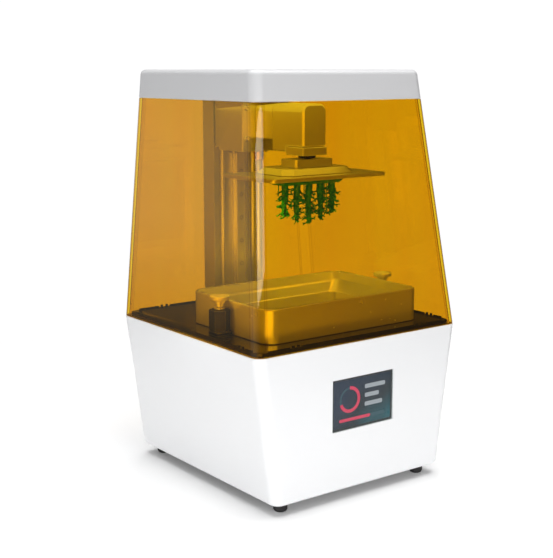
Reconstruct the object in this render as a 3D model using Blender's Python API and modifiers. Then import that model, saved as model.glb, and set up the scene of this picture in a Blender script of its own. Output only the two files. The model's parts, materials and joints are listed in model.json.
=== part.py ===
"""Desktop resin printer with a lift-off hood, a levelling build plate and a clamped resin vat.

Metres, +X right, -Y front (the wall with the screen), +Z up. The origin is on the floor, under the
middle of the base. Run it in Blender 4.5: each visible object is one closed piece of the machine.
"""
import math

import bmesh
import bpy
from mathutils import Matrix, Vector

# ---------------------------------------------------------------- driving dimensions
GAP = 0.0003  # between pieces that touch

HEIGHT = 0.410
FOOT_HEIGHT = 0.010
JOINT_Z = 0.1553  # where the hood stands on the base
HOOD_TOP_Z = 0.3813  # where the hood's panel meets its cap
HALF_Y = 0.1217  # the base's front and back walls are upright
BASE_HALF_X = (0.1061, 0.1260)  # at the floor end and at the joint
HOOD_LOW = (-0.1260, 0.1260, -0.1213, 0.1213)  # x and y limits at the joint
HOOD_HIGH = (-0.1027, 0.1027, -0.0848, 0.1202)  # and at the top
CORNER_RADIUS = 0.011
EDGE_RADIUS = 0.0052
WALL = 0.003

FOOT_X, FOOT_Y, FOOT_RADIUS = 0.088, 0.105, 0.00675
PEG_RADIUS, PEG_TOP_Z = 0.0020, 0.0145  # the peg that holds a foot in the floor plate

DECK_HALF = (0.1210, 0.1166)
DECK_Z = (0.1530, 0.1590)
LIP_HEIGHT, LIP_WIDTH = 0.0013, 0.0018
NUB_X = (-0.078, 0.078)  # on the front and back edges
NUB_Y = (-0.087, 0.005, 0.094)  # on the side edges

VAT_Y = -0.0312  # middle of the vat, the exposure screen, the lamp and the fan
VAT_HALF = (0.0960, 0.0655)
VAT_Z = (0.1593, 0.1921)
VAT_RIM, VAT_RADIUS = 0.0030, 0.0130
WINDOW_HALF = (0.0800, 0.0520)
SLOPE_Z = (0.1720, 0.1820)  # lower and upper end of the vat's sloped inner walls
FILM_Z = (0.1610, 0.1613)

SCREW_X, SCREW_Y = 0.105, -0.0305  # thumb screws
POST_Z = (0.1633, 0.1840)
POST_RADIUS = 0.0102
THREAD_BORE = 0.0029  # clear hole round a thumb screw
WASHER_RADIUS, WASHER_Z = 0.0052, (0.1843, 0.1860)
SCREW_PROFILE = (  # radius and z from the top: knurled head, second tier, neck, thread and its tip
    (0.0, 0.1973), (0.0088, 0.1973), (0.0095, 0.1966), (0.0095, 0.1928), (0.0088, 0.1921),
    (0.0068, 0.1921), (0.0068, 0.1905), (0.0044, 0.1895), (0.0044, 0.1863), (0.0025, 0.1863),
    (0.0025, 0.1550), (0.0019, 0.1540), (0.0, 0.1540),
)

LEAD_Y, LEAD_RADIUS = 0.049, 0.004
LEAD_Z = (0.1350, 0.3965)
MOTOR_HALF = 0.02115
MOTOR_Z = (0.0720, 0.1100)
SHAFT_RADIUS, SHAFT_Z = 0.0025, (0.0910, 0.1300)
COUPLER_RADIUS, COUPLER_Z = 0.0095, (0.1220, 0.1470)

COLUMN_HALF = (0.030, 0.010)
COLUMN_Y = 0.0985
COLUMN_Z = (0.1636, 0.3920)
RAIL_HALF, RAIL_Y, RAIL_Z = 0.006, (0.0805, 0.0882), (0.1680, 0.3880)
SLOT_X = (-0.020, 0.0, 0.020)
SLOT_SHAPE = (  # half width and depth of a T-slot
    (0.0031, 0.0), (0.0031, 0.0018), (0.0056, 0.0018), (0.0056, 0.0030), (0.0026, 0.0058),
)
TOP_PLATE_Y, TOP_PLATE_Z = (0.0370, 0.1080), (0.3923, 0.3973)
BEARING_RADIUS, BEARING_Z = 0.0080, (0.3925, 0.3971)
GATE_X, GATE_Y, GATE_Z = (0.0305, 0.0440), (0.0960, 0.1085), (0.1640, 0.1765)  # end stop
FLAG_X, FLAG_Y = (0.0368, 0.0382), (0.0720, 0.1060)
FLAG_Z = (0.3320, 0.3450)
BLADE_Y, BLADE_Z = (0.0992, 0.1060), (0.3080, 0.3330)  # the flag's lower end

CARRIAGE_HALF_X = 0.030
CARRIAGE_Y = (0.0355, 0.0860)
CARRIAGE_Z = (0.3270, 0.3790)
SHEET = 0.0025
CORE_HALF_X, CORE_Y, CORE_Z = 0.024, (0.0383, 0.0753), (0.3306, 0.3760)
RAIL_BLOCK_HALF, RAIL_BLOCK_Y, RAIL_BLOCK_Z = 0.0135, (0.0756, 0.0856), (0.3230, 0.3680)
NUT_FLANGE, NUT_BODY, NUT_Z = 0.0110, 0.0051, (0.3166, 0.3268, 0.3303)  # tip, flange, top

ARM_HALF_X = 0.0147
ARM_Y = (-0.0448, 0.0065)
ARM_Z = (0.3295, 0.3772)
ARM_RADIUS = 0.008
CLAMP_Y, CLAMP_Z = (-0.0452, -0.0172), (0.3270, 0.3350)  # block under the arm's front end
ROOT_HALF_X, ROOT_Z = 0.0140, (0.3413, 0.3766)

BALL = Vector((0.0, -0.0322, 0.3175))
BALL_RADIUS = 0.0075
SOCKET_PLAY = 0.0004
STUD_PROFILE = (  # radius and z from the top
    (0.0, 0.3267), (0.0090, 0.3267), (0.0085, 0.3243), (0.0036, 0.3243), (0.0034, 0.3218), (0.0, 0.3218),
)
PLATE_HALF_X = 0.0715
PLATE_Y = (-0.0713, 0.0127)
PLATE_Z = (0.3055, 0.3092)
HUB_LOW = (-0.0455, 0.0455, -0.0585, -0.0005)  # the pyramid's x and y limits at its foot
HUB_HIGH = (-0.0400, 0.0400, -0.0530, -0.0060)
HUB_Z = (0.3095, 0.3156)
HOUSING_HALF_X, HOUSING_Y, HOUSING_Z = 0.0235, (-0.0450, -0.0194), (0.3159, 0.3235)

SCREEN_HALF = (0.0383, 0.0253)
SCREEN_Z = 0.0959

INLET_HALF_X, INLET_Z = 0.042, (0.034, 0.060)  # opening for the sockets in the back wall

# ---------------------------------------------------------------- scene and materials
FINISHES = {  # colour, roughness, metallic
    "white_shell": ((0.86, 0.87, 0.88), 0.32, 0.0),
    "amber_acrylic": ((0.86, 0.43, 0.02), 0.05, 0.0),
    "black_gloss": ((0.015, 0.014, 0.014), 0.12, 0.0),
    "black_plastic": ((0.03, 0.03, 0.032), 0.45, 0.0),
    "black_rubber": ((0.02, 0.02, 0.02), 0.8, 0.0),
    "aluminium": ((0.78, 0.78, 0.79), 0.3, 1.0),
    "dark_metal": ((0.09, 0.09, 0.095), 0.4, 1.0),
    "steel": ((0.6, 0.6, 0.62), 0.22, 1.0),
    "brass": ((0.78, 0.57, 0.27), 0.3, 1.0),
    "screen_glass": ((0.02, 0.06, 0.08), 0.06, 0.0),
    "clear_film": ((0.9, 0.9, 0.88), 0.1, 0.0),
    "circuit_board": ((0.03, 0.16, 0.07), 0.5, 0.0),
    "green_resin": ((0.02, 0.2, 0.01), 0.35, 0.0),
}


def clear_scene():
    for obj in list(bpy.data.objects):
        bpy.data.objects.remove(obj, do_unlink=True)


def new_collection(name):
    made = bpy.data.collections.new(name)
    bpy.context.scene.collection.children.link(made)
    return made


def finish_of(name):
    """The material of that name, made on first use."""
    found = bpy.data.materials.get(name)
    if found:
        return found
    colour, roughness, metallic = FINISHES[name]
    made = bpy.data.materials.new(name)
    made.use_nodes = True
    shader = made.node_tree.nodes["Principled BSDF"]
    shader.inputs["Base Color"].default_value = (*colour, 1.0)
    shader.inputs["Roughness"].default_value = roughness
    shader.inputs["Metallic"].default_value = metallic
    if name in ("amber_acrylic", "clear_film"):
        shader.inputs["Transmission Weight"].default_value = 0.8
    made.diffuse_color = (*colour, 1.0)
    return made


clear_scene()
PARTS = new_collection("resin_printer")
CUTTERS = new_collection("cutters")
CUTTERS.hide_render = True


def object_from(name, bm, finish, parent=None):
    """A new object from bm: a part with its finish, or a cutter where finish is None."""
    bmesh.ops.recalc_face_normals(bm, faces=bm.faces)
    mesh = bpy.data.meshes.new(name)
    bm.to_mesh(mesh)
    bm.free()
    obj = bpy.data.objects.new(name, mesh)
    if finish is None:
        CUTTERS.objects.link(obj)
        obj.hide_render = True
        obj.display_type = "WIRE"
    else:
        PARTS.objects.link(obj)
        mesh.materials.append(finish_of(finish))
    if parent is not None:
        put_under(obj, parent)
    return obj


def put_under(obj, parent):
    """Parents obj and keeps its place in the world."""
    obj.parent = parent
    obj.matrix_parent_inverse = Matrix.Translation(parent.location).inverted()


def pivot(name, location):
    """An empty on a joint's axis. What moves with the joint is parented to it."""
    empty = bpy.data.objects.new(name, None)
    empty.location = location
    empty.empty_display_size = 0.02
    PARTS.objects.link(empty)
    return empty


def smooth(obj, angle=35):
    obj.data.shade_smooth()
    obj.data.set_sharp_from_angle(angle=math.radians(angle))
    return obj


# ---------------------------------------------------------------- shapes
def block_mesh(low, high, z, radius=0.0, segments=4, edge=0.0, edge_at="none"):
    """A block between two rectangles (x0, x1, y0, y1) at the two heights z, with its upright edges
    rounded, and the edges round its 'top' or 'bottom' too."""
    bm = bmesh.new()
    bmesh.ops.create_cube(bm, size=1.0)
    for v in bm.verts:
        x0, x1, y0, y1 = high if v.co.z > 0 else low
        v.co = (x1 if v.co.x > 0 else x0, y1 if v.co.y > 0 else y0, z[1] if v.co.z > 0 else z[0])
    if radius:
        upright = [e for e in bm.edges if abs(e.verts[0].co.z - e.verts[1].co.z) > 1e-6]
        bmesh.ops.bevel(
            bm, geom=upright, offset=radius, segments=segments, profile=0.5, affect="EDGES"
        )
    if edge:
        level = z[1] if edge_at == "top" else z[0]
        rim = [e for e in bm.edges if all(abs(v.co.z - level) < 1e-6 for v in e.verts)]
        bmesh.ops.bevel(bm, geom=rim, offset=edge, segments=3, profile=0.5, affect="EDGES")
    return bm


def block(name, x, y, z, finish=None, radius=0.0, segments=4, parent=None, **edges):
    """An upright block between the limits x, y and z."""
    section = (*x, *y)
    return object_from(name, block_mesh(section, section, z, radius, segments, **edges), finish, parent)


def centred(half, centre=0.0):
    return centre - half, centre + half


def rounded_rectangle(half, radius, centre_y, steps=6):
    """Points counter-clockwise round a rectangle with quarter-circle corners."""
    points = []
    for corner in range(4):
        sx, sy = ((1, 1), (-1, 1), (-1, -1), (1, -1))[corner]
        for i in range(steps + 1):
            a = math.pi / 2 * (corner + i / steps)
            x = sx * (half[0] - radius) + radius * math.cos(a)
            y = sy * (half[1] - radius) + radius * math.sin(a)
            points.append((x, centre_y + y))
    return points


def loft_mesh(sections, centre_y):
    """A closed solid through rounded rectangles (half sizes, radius, z), from the lowest up."""
    bm = bmesh.new()
    rings = []
    for half, radius, z in sections:
        rings.append([bm.verts.new((x, y, z)) for x, y in rounded_rectangle(half, radius, centre_y)])
    for low, high in zip(rings, rings[1:]):
        count = len(low)
        for i in range(count):
            j = (i + 1) % count
            bm.faces.new((low[i], low[j], high[j], high[i]))
    bm.faces.new(reversed(rings[0]))
    bm.faces.new(rings[-1])
    return bm


def rod(name, radius, z, centre, finish=None, segments=32, parent=None):
    """An upright round bar."""
    bm = bmesh.new()
    bmesh.ops.create_cone(
        bm, cap_ends=True, segments=segments, radius1=radius, radius2=radius,
        depth=z[1] - z[0], matrix=Matrix.Translation((*centre, (z[0] + z[1]) / 2)),
    )
    return smooth(object_from(name, bm, finish, parent))


def rod_along_y(name, radius, y, x, z, finish=None, segments=24):
    bm = bmesh.new()
    turn = Matrix.Translation((x, (y[0] + y[1]) / 2, z)) @ Matrix.Rotation(math.pi / 2, 4, "X")
    bmesh.ops.create_cone(
        bm, cap_ends=True, segments=segments, radius1=radius, radius2=radius,
        depth=y[1] - y[0], matrix=turn,
    )
    return smooth(object_from(name, bm, finish))


def turned(name, profile, centre, finish, steps=32, parent=None):
    """A turned piece. The profile's (radius, z) points run from the top to the bottom."""
    mesh = bpy.data.meshes.new(name)
    mesh.from_pydata(
        [(r, 0.0, z) for r, z in profile], [(i, i + 1) for i in range(len(profile) - 1)], []
    )
    obj = bpy.data.objects.new(name, mesh)
    PARTS.objects.link(obj)
    mesh.materials.append(finish_of(finish))
    obj.location = (*centre, 0.0)
    screw = obj.modifiers.new("turn", "SCREW")
    screw.steps = screw.render_steps = steps
    screw.use_merge_vertices = True
    screw.merge_threshold = 1e-5
    screw.use_smooth_shade = False
    if parent is not None:
        put_under(obj, parent)
    return obj


def extruded(name, outline, along, span, finish=None, parent=None):
    """A flat outline, filled and extruded over span along an axis. The outline's points are (x, y) for
    along Z, and (x, z) for along Y."""
    curve = bpy.data.curves.new(name + "_outline", "CURVE")
    curve.dimensions = "2D"
    curve.fill_mode = "BOTH"
    curve.extrude = (span[1] - span[0]) / 2
    spline = curve.splines.new("POLY")
    spline.points.add(len(outline) - 1)
    for point, (u, v) in zip(spline.points, outline):
        point.co = (u, v, 0.0, 1.0)
    spline.use_cyclic_u = True
    guide = bpy.data.objects.new(name + "_outline", curve)
    bpy.context.scene.collection.objects.link(guide)
    middle = (span[0] + span[1]) / 2
    if along == "Z":
        guide.location = (0.0, 0.0, middle)
    else:
        guide.matrix_world = Matrix.Translation((0.0, middle, 0.0)) @ Matrix.Rotation(
            math.pi / 2, 4, "X"
        )
    bpy.context.view_layer.update()
    graph = bpy.context.evaluated_depsgraph_get()
    mesh = bpy.data.meshes.new_from_object(guide.evaluated_get(graph))
    bm = bmesh.new()
    bm.from_mesh(mesh)
    bm.transform(guide.matrix_world)
    bmesh.ops.remove_doubles(bm, verts=bm.verts, dist=1e-6)
    bpy.data.objects.remove(guide, do_unlink=True)
    bpy.data.meshes.remove(mesh)
    return object_from(name, bm, finish, parent)


def rounded_top(half_x, z, radius, steps=5):
    """A box outline (x, z) whose two upper corners are quarter circles."""
    arcs = []
    for side in (1, -1):
        turns = range(steps + 1) if side > 0 else range(steps, -1, -1)
        for i in turns:
            a = math.pi / 2 * i / steps
            x = side * (half_x - radius + radius * math.cos(a))
            arcs.append((x, z[1] - radius + radius * math.sin(a)))
    return [(-half_x, z[0]), (half_x, z[0]), *arcs]


def boolean(target, operation, others):
    for other in others:
        modifier = target.modifiers.new(other.name, "BOOLEAN")
        modifier.operation = operation
        modifier.object = other
        modifier.solver = "EXACT"
    return target


def cut(target, *cutters):
    return boolean(target, "DIFFERENCE", cutters)


def join(target, *pieces):
    return boolean(target, "UNION", pieces)


def cutter_group(name, boxes):
    """Several separate boxes, each (x, y, z) limits, as one cutter."""
    bm = bmesh.new()
    for x, y, z in boxes:
        size = Matrix.Diagonal((x[1] - x[0], y[1] - y[0], z[1] - z[0], 1.0))
        middle = Matrix.Translation(((x[0] + x[1]) / 2, (y[0] + y[1]) / 2, (z[0] + z[1]) / 2))
        bmesh.ops.create_cube(bm, size=1.0, matrix=middle @ size)
    return object_from(name, bm, None)


def between(low, high, t):
    return tuple(a + (b - a) * t for a, b in zip(low, high))


def inset(section, wall):
    x0, x1, y0, y1 = section
    return x0 + wall, x1 - wall, y0 + wall, y1 - wall


def base_section(z):
    half = BASE_HALF_X[0] + (BASE_HALF_X[1] - BASE_HALF_X[0]) * (z - FOOT_HEIGHT) / (
        JOINT_Z - FOOT_HEIGHT
    )
    return -half, half, -HALF_Y, HALF_Y


def hood_section(z):
    return between(HOOD_LOW, HOOD_HIGH, (z - JOINT_Z) / (HEIGHT - JOINT_Z))


def tapered(name, section, z, wall=0.0, radius=CORNER_RADIUS, finish=None, parent=None, **edges):
    """A block that follows one of the two tapered sections, inset by a wall."""
    low, high = inset(section(z[0]), wall), inset(section(z[1]), wall)
    return object_from(name, block_mesh(low, high, z, radius, 6, **edges), finish, parent)


# ---------------------------------------------------------------- base
LEDGE_Z = (0.1497, 0.1527)
FLOOR_Z = (FOOT_HEIGHT, 0.015)
PLATE_RECESS = (0.0990, 0.1130)
BASE_OPENING = (0.0950, 0.1090)
LEDGE_HALF = (0.114, 0.112)
VENT_COUNT, VENT_PITCH, VENT_WIDTH, VENT_Z = 8, 0.014, 0.003, (0.076, 0.106)


def base_housing():
    """The tapered outer shell: floor ring, ledge for the deck, and the openings in its walls."""
    shell = tapered(
        "base_housing", base_section, (FOOT_HEIGHT, JOINT_Z), finish="white_shell",
        edge=EDGE_RADIUS, edge_at="bottom",
    )
    vents_x = [(i - (VENT_COUNT - 1) / 2) * VENT_PITCH for i in range(VENT_COUNT)]
    back = (HALF_Y - 0.010, HALF_Y + 0.010)
    cut(
        shell,
        tapered("base_cavity", base_section, (FLOOR_Z[1], LEDGE_Z[0]), WALL, CORNER_RADIUS - WALL),
        block(
            "ledge_opening", centred(LEDGE_HALF[0]), centred(LEDGE_HALF[1]), (0.148, 0.154), radius=0.006,
        ),
        block(
            "deck_recess", centred(DECK_HALF[0] + GAP), centred(DECK_HALF[1] + GAP),
            (LEDGE_Z[1], 0.160), radius=0.0083,
        ),
        block(
            "floor_opening", centred(BASE_OPENING[0]), centred(BASE_OPENING[1]), (0.005, 0.017),
            radius=0.008,
        ),
        block(
            "floor_recess", centred(PLATE_RECESS[0]), centred(PLATE_RECESS[1]), (0.005, 0.0123),
            radius=0.008,
        ),
        cutter_group(
            "wall_openings",
            [
                (
                    centred(SCREEN_HALF[0] + GAP),
                    (-HALF_Y - 0.010, -HALF_Y + 0.010),
                    centred(SCREEN_HALF[1] + GAP, SCREEN_Z),
                ),
                (centred(INLET_HALF_X), back, INLET_Z),
                *[(centred(VENT_WIDTH / 2, x), back, VENT_Z) for x in vents_x],
            ],
        ),
    )
    return smooth(shell)


GRILLE_RADIUS, GRILLE_PITCH, SLOT_HALF = 0.029, 0.006, 0.0015
REAR_SLOTS, REAR_PITCH = 6, 0.016


def bottom_plate():
    """Inset floor plate with a round grille under the fan and holes for the feet."""
    half_x, half_y = PLATE_RECESS[0] - 0.0004, PLATE_RECESS[1] - 0.0004
    plate = block(
        "bottom_plate", centred(half_x), centred(half_y), (0.0103, 0.0120), "black_plastic", radius=0.0076
    )
    through = (0.005, 0.017)
    slots = []
    for i in range(-4, 5):
        half = math.sqrt(GRILLE_RADIUS**2 - (i * GRILLE_PITCH) ** 2)
        slots.append((centred(half), centred(SLOT_HALF, VAT_Y + i * GRILLE_PITCH), through))
    for i in range(REAR_SLOTS):
        x = (i - (REAR_SLOTS - 1) / 2) * REAR_PITCH
        slots.append((centred(SLOT_HALF, x), (0.060, 0.095), through))
    cut(plate, cutter_group("floor_slots", slots))
    for i, place in enumerate(foot_places()):
        cut(plate, rod(f"foot_hole_{i}", PEG_RADIUS + GAP, through, place, segments=16))
    return plate


def foot_places():
    return [(sx * FOOT_X, sy * FOOT_Y) for sy in (-1, 1) for sx in (-1, 1)]


def feet():
    """Push-in feet: a short tapered pad and a peg through the floor plate."""
    names = ("foot_front_left", "foot_front_right", "foot_back_left", "foot_back_right")
    top = FOOT_HEIGHT
    profile = [
        (0.0, PEG_TOP_Z), (PEG_RADIUS - 0.0008, PEG_TOP_Z), (PEG_RADIUS, PEG_TOP_Z - 0.0008),
        (PEG_RADIUS, top), (FOOT_RADIUS, top), (FOOT_RADIUS, 0.0020),
        (FOOT_RADIUS - 0.0010, 0.0005), (FOOT_RADIUS - 0.0020, 0.0), (0.0, 0.0),
    ]
    for name, place in zip(names, foot_places()):
        smooth(turned(name, profile, place, "black_rubber", steps=24))


def lip_pieces():
    """The raised lip along the deck's edge, open at each pair of nubs, and the nubs."""
    (hx, hy), top = DECK_HALF, DECK_Z[1]
    z = (top - 0.001, top + LIP_HEIGHT)
    clear, end = 0.007, 0.012
    spans_x = [(-hx + end, NUB_X[0] - clear), (NUB_X[0] + clear, NUB_X[1] - clear),
               (NUB_X[1] + clear, hx - end)]
    spans_y = [(-hy + end, NUB_Y[0] - clear), (NUB_Y[0] + clear, NUB_Y[1] - clear),
               (NUB_Y[1] + clear, NUB_Y[2] - clear), (NUB_Y[2] + clear, hy - end)]
    boxes = []
    for side in (-1, 1):
        edge_x = sorted((side * (hx - 0.0004), side * (hx - 0.0004 - LIP_WIDTH)))
        edge_y = sorted((side * (hy - 0.0004), side * (hy - 0.0004 - LIP_WIDTH)))
        boxes += [(span, edge_y, z) for span in spans_x]
        boxes += [(edge_x, span, z) for span in spans_y]
        for rib in (-0.003, 0.003):
            high = (z[0], z[1] + 0.0009)
            boxes += [(centred(0.0011, x + rib), edge_y, high) for x in NUB_X]
            boxes += [(edge_x, centred(0.0011, y + rib), high) for y in NUB_Y]
    return boxes


def deck_plate():
    """Glossy top plate of the base: exposure window, lead screw hole and two threaded holes."""
    deck = block(
        "deck_plate", centred(DECK_HALF[0]), centred(DECK_HALF[1]), DECK_Z, "black_gloss",
        radius=0.008, edge=0.0006, edge_at="top",
    )
    join(deck, cutter_group("deck_lip", lip_pieces()))
    cut(
        deck,
        block("deck_window", centred(0.0664), centred(0.0394, VAT_Y), (0.15, 0.17), radius=0.002),
        rod("deck_lead_hole", 0.0065, (0.15, 0.17), (0.0, LEAD_Y), segments=24),
    )
    for side in (-1, 1):
        cut(deck, rod(f"deck_thread_{side}", 0.0028, (0.15, 0.17), (side * SCREW_X, SCREW_Y), segments=16))
    return smooth(deck)


# ---------------------------------------------------------------- exposure unit, under the deck
LCD_HALF, LCD_Z = (0.0660, 0.0390), (0.1560, 0.1588)
LAMP_BOARD_HALF = (0.038, 0.028)
FUNNEL_LOW, FUNNEL_HIGH = (0.022, 0.022), (0.0640, 0.0370)  # outer half sizes
FUNNEL_Z = (0.0605, 0.1504)


def around_lamp(half, wall):
    """Limits of a rectangle of those half sizes round the lamp's axis, inset by a wall."""
    return inset((-half[0], half[0], VAT_Y - half[1], VAT_Y + half[1]), wall)


def exposure_unit():
    """Retaining frame, exposure screen, reflector funnel, lamp board and heat sink."""
    frame = block(
        "lcd_frame", centred(0.0740), centred(0.0470, VAT_Y), (0.1507, LEDGE_Z[1]), "black_plastic"
    )
    join(
        frame,
        block("lcd_shoulder", centred(0.0658), centred(0.0388, VAT_Y), (0.1515, 0.1555), radius=0.002),
    )
    cut(frame, block("lcd_frame_window", centred(0.0620), centred(0.0350, VAT_Y), (0.145, 0.160)))
    block(
        "lcd_panel", centred(LCD_HALF[0]), centred(LCD_HALF[1], VAT_Y), LCD_Z, "screen_glass",
        radius=0.002, segments=2,
    )
    funnel = object_from(
        "light_reflector",
        block_mesh(around_lamp(FUNNEL_LOW, 0.0), around_lamp(FUNNEL_HIGH, 0.0), FUNNEL_Z),
        "aluminium",
    )
    hollow = block_mesh(
        around_lamp((0.0198, 0.0215), 0.0015), around_lamp((0.0647, 0.0374), 0.0015), (0.0600, 0.1520)
    )
    cut(funnel, object_from("reflector_hollow", hollow, None))
    board = block(
        "uv_lamp_board", centred(LAMP_BOARD_HALF[0]), centred(LAMP_BOARD_HALF[1], VAT_Y),
        (0.0560, 0.0580), "aluminium",
    )
    join(board, rod("lamp", 0.011, (0.0570, 0.0602), (0.0, VAT_Y), segments=24))
    heat_sink()


FIN_COUNT, FIN_THICKNESS, FIN_PITCH = 11, 0.0014, 0.0082
SINK_HALF = (0.0440, 0.0310)
SINK_Z = (0.0340, 0.0500, 0.0557)  # fin tips, underside and top of the base plate


def heat_sink():
    """Extruded comb: a base plate with fins that point down."""
    tips, under, top = SINK_Z
    half = SINK_HALF[0]
    outline = [(half, top), (-half, top), (-half, under)]
    for i in range(FIN_COUNT):
        left, right = centred(FIN_THICKNESS / 2, (i - (FIN_COUNT - 1) / 2) * FIN_PITCH)
        outline += [(left, under), (left, tips), (right, tips), (right, under)]
    outline += [(half, under)]
    extruded("uv_heat_sink", outline, "Y", centred(SINK_HALF[1], VAT_Y), "aluminium")


FAN_HALF, FAN_Z = 0.030, (0.0175, 0.0325)
THROAT_RADIUS, THROAT_TOP = 0.0285, 0.0312
HUB_RADIUS, TIP_RADIUS = 0.0120, 0.0275
BLADES, HALF_BLADE, BLADE_TWIST = 7, 0.0016, math.radians(24)
ROTOR_Z = (0.0190, 0.0300)


def grille_gaps():
    """Openings between the struts above the rotor."""
    z = (0.030, 0.035)
    gaps = []
    for side in (-1, 1):
        for lane in (-1, 1):
            x = sorted((side * 0.0025, side * 0.0225))
            y = sorted((VAT_Y + lane * 0.0135, VAT_Y + lane * 0.0250))
            gaps.append((x, y, z))
        gaps.append((sorted((side * 0.0140, side * 0.0270)), centred(0.0110, VAT_Y), z))
    return gaps


def fan():
    """Axial fan under the heat sink. The rotor turns on its own vertical axis."""
    centre = (0.0, VAT_Y)
    frame = block(
        "fan_frame", centred(FAN_HALF), centred(FAN_HALF, VAT_Y), FAN_Z, "black_plastic", radius=0.003,
        segments=2,
    )
    cut(
        frame,
        rod("fan_throat", THROAT_RADIUS, (0.010, THROAT_TOP), centre, segments=40),
        cutter_group("fan_grille", grille_gaps()),
    )
    outline = []
    for i in range(BLADES):
        a = 2 * math.pi * i / BLADES
        ends = ((HUB_RADIUS, -1), (TIP_RADIUS, -1), (TIP_RADIUS, 1), (HUB_RADIUS, 1))
        for r, side in ends:
            x = r * math.cos(a) - side * HALF_BLADE * math.sin(a)
            y = r * math.sin(a) + side * HALF_BLADE * math.cos(a)
            outline.append((x, VAT_Y + y))
        for step in (1, 2):
            b = a + 2 * math.pi / BLADES * step / 3
            outline.append((HUB_RADIUS * math.cos(b), VAT_Y + HUB_RADIUS * math.sin(b)))
    axle = pivot("fan_axis", (*centre, 0.0))
    rotor = extruded("fan_rotor", outline, "Z", ROTOR_Z, "black_plastic", axle)
    twist = Matrix.Rotation(BLADE_TWIST, 2)
    for v in rotor.data.vertices:
        if v.co.z > sum(ROTOR_Z) / 2:
            x, y = twist @ Vector((v.co.x, v.co.y - VAT_Y))
            v.co.x, v.co.y = x, y + VAT_Y


# ---------------------------------------------------------------- Z drive
def z_drive(spin):
    """Motor in its bracket under the deck. The shaft, coupler and lead screw turn together."""
    centre = (0.0, LEAD_Y)
    bracket = block(
        "motor_bracket", centred(0.034), (0.024, 0.074), (MOTOR_Z[1] + GAP, LEDGE_Z[1]), "steel"
    )
    cut(
        bracket,
        block("bracket_hollow", centred(0.031), (0.010, 0.090), (0.1133, 0.1497)),
        rod("bracket_low_hole", 0.0115, (0.100, 0.120), centre, segments=24),
        rod("bracket_high_hole", 0.0115, (0.140, 0.160), centre, segments=24),
    )
    motor = block(
        "z_motor", centred(MOTOR_HALF), centred(MOTOR_HALF, LEAD_Y), MOTOR_Z, "black_plastic",
        radius=0.004, segments=1,
    )
    join(motor, rod("motor_boss", 0.011, (0.108, 0.1118), centre, segments=32))
    cut(motor, rod("motor_bore", SHAFT_RADIUS + 0.0005, (0.090, 0.120), centre, segments=16))
    rod("motor_shaft", SHAFT_RADIUS, SHAFT_Z, centre, "steel", segments=16, parent=spin)
    coupler = rod(
        "shaft_coupler", COUPLER_RADIUS, COUPLER_Z, centre, "aluminium", segments=24, parent=spin
    )
    cut(
        coupler,
        rod("coupler_low_bore", SHAFT_RADIUS + GAP, (0.1200, 0.1330), centre, segments=16),
        rod("coupler_high_bore", LEAD_RADIUS + GAP, (0.1325, 0.1500), centre, segments=24),
    )
    rod("lead_screw", LEAD_RADIUS, LEAD_Z, centre, "steel", segments=32, parent=spin)


def column():
    """Foot, slotted column, linear rail, top plate and the lead screw's top bearing."""
    hx, hy = COLUMN_HALF
    block(
        "column_foot", centred(0.036), (0.0830, 0.1140), (0.1593, 0.1633), "dark_metal", radius=0.003,
        segments=2,
    )
    front, back = COLUMN_Y - hy, COLUMN_Y + hy
    outline = [(-hx, back), (-hx, front)]
    for x in SLOT_X:
        outline += [(x - w, front + d) for w, d in SLOT_SHAPE]
        outline += [(x + w, front + d) for w, d in reversed(SLOT_SHAPE)]
    outline += [(hx, front), (hx, back)]
    extruded("z_column", outline, "Z", COLUMN_Z, "aluminium")

    y0, y1 = RAIL_Y
    half, waist = RAIL_HALF, RAIL_HALF - 0.0010
    edge = [
        (half, y1), (half, y1 - 0.0028), (waist, y1 - 0.0038), (waist, y1 - 0.0052),
        (half, y1 - 0.0060), (half, y0 + 0.0004), (half - 0.0004, y0),
    ]
    rail = edge + [(-x, y) for x, y in reversed(edge)]
    extruded("linear_rail", rail, "Z", RAIL_Z, "steel")

    through, centre = (0.390, 0.400), (0.0, LEAD_Y)
    plate = block(
        "column_top_plate", centred(hx), TOP_PLATE_Y, TOP_PLATE_Z, "aluminium", radius=0.004, segments=2
    )
    cut(plate, rod("bearing_seat", BEARING_RADIUS + GAP, through, centre, segments=32))
    bearing = rod("top_bearing", BEARING_RADIUS, BEARING_Z, centre, "steel", segments=32)
    cut(bearing, rod("bearing_bore", LEAD_RADIUS + GAP, through, centre, segments=32))


def end_stop():
    """A light gate beside the column. The carriage's flag enters it at the bottom of the travel."""
    gate = block("end_stop", GATE_X, GATE_Y, GATE_Z, "black_plastic")
    slot_x = (FLAG_X[0] - 0.0013, FLAG_X[1] + 0.0013)
    cut(gate, block("end_stop_slot", slot_x, (0.0978, 0.1100), (0.1665, 0.1800)))


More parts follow.
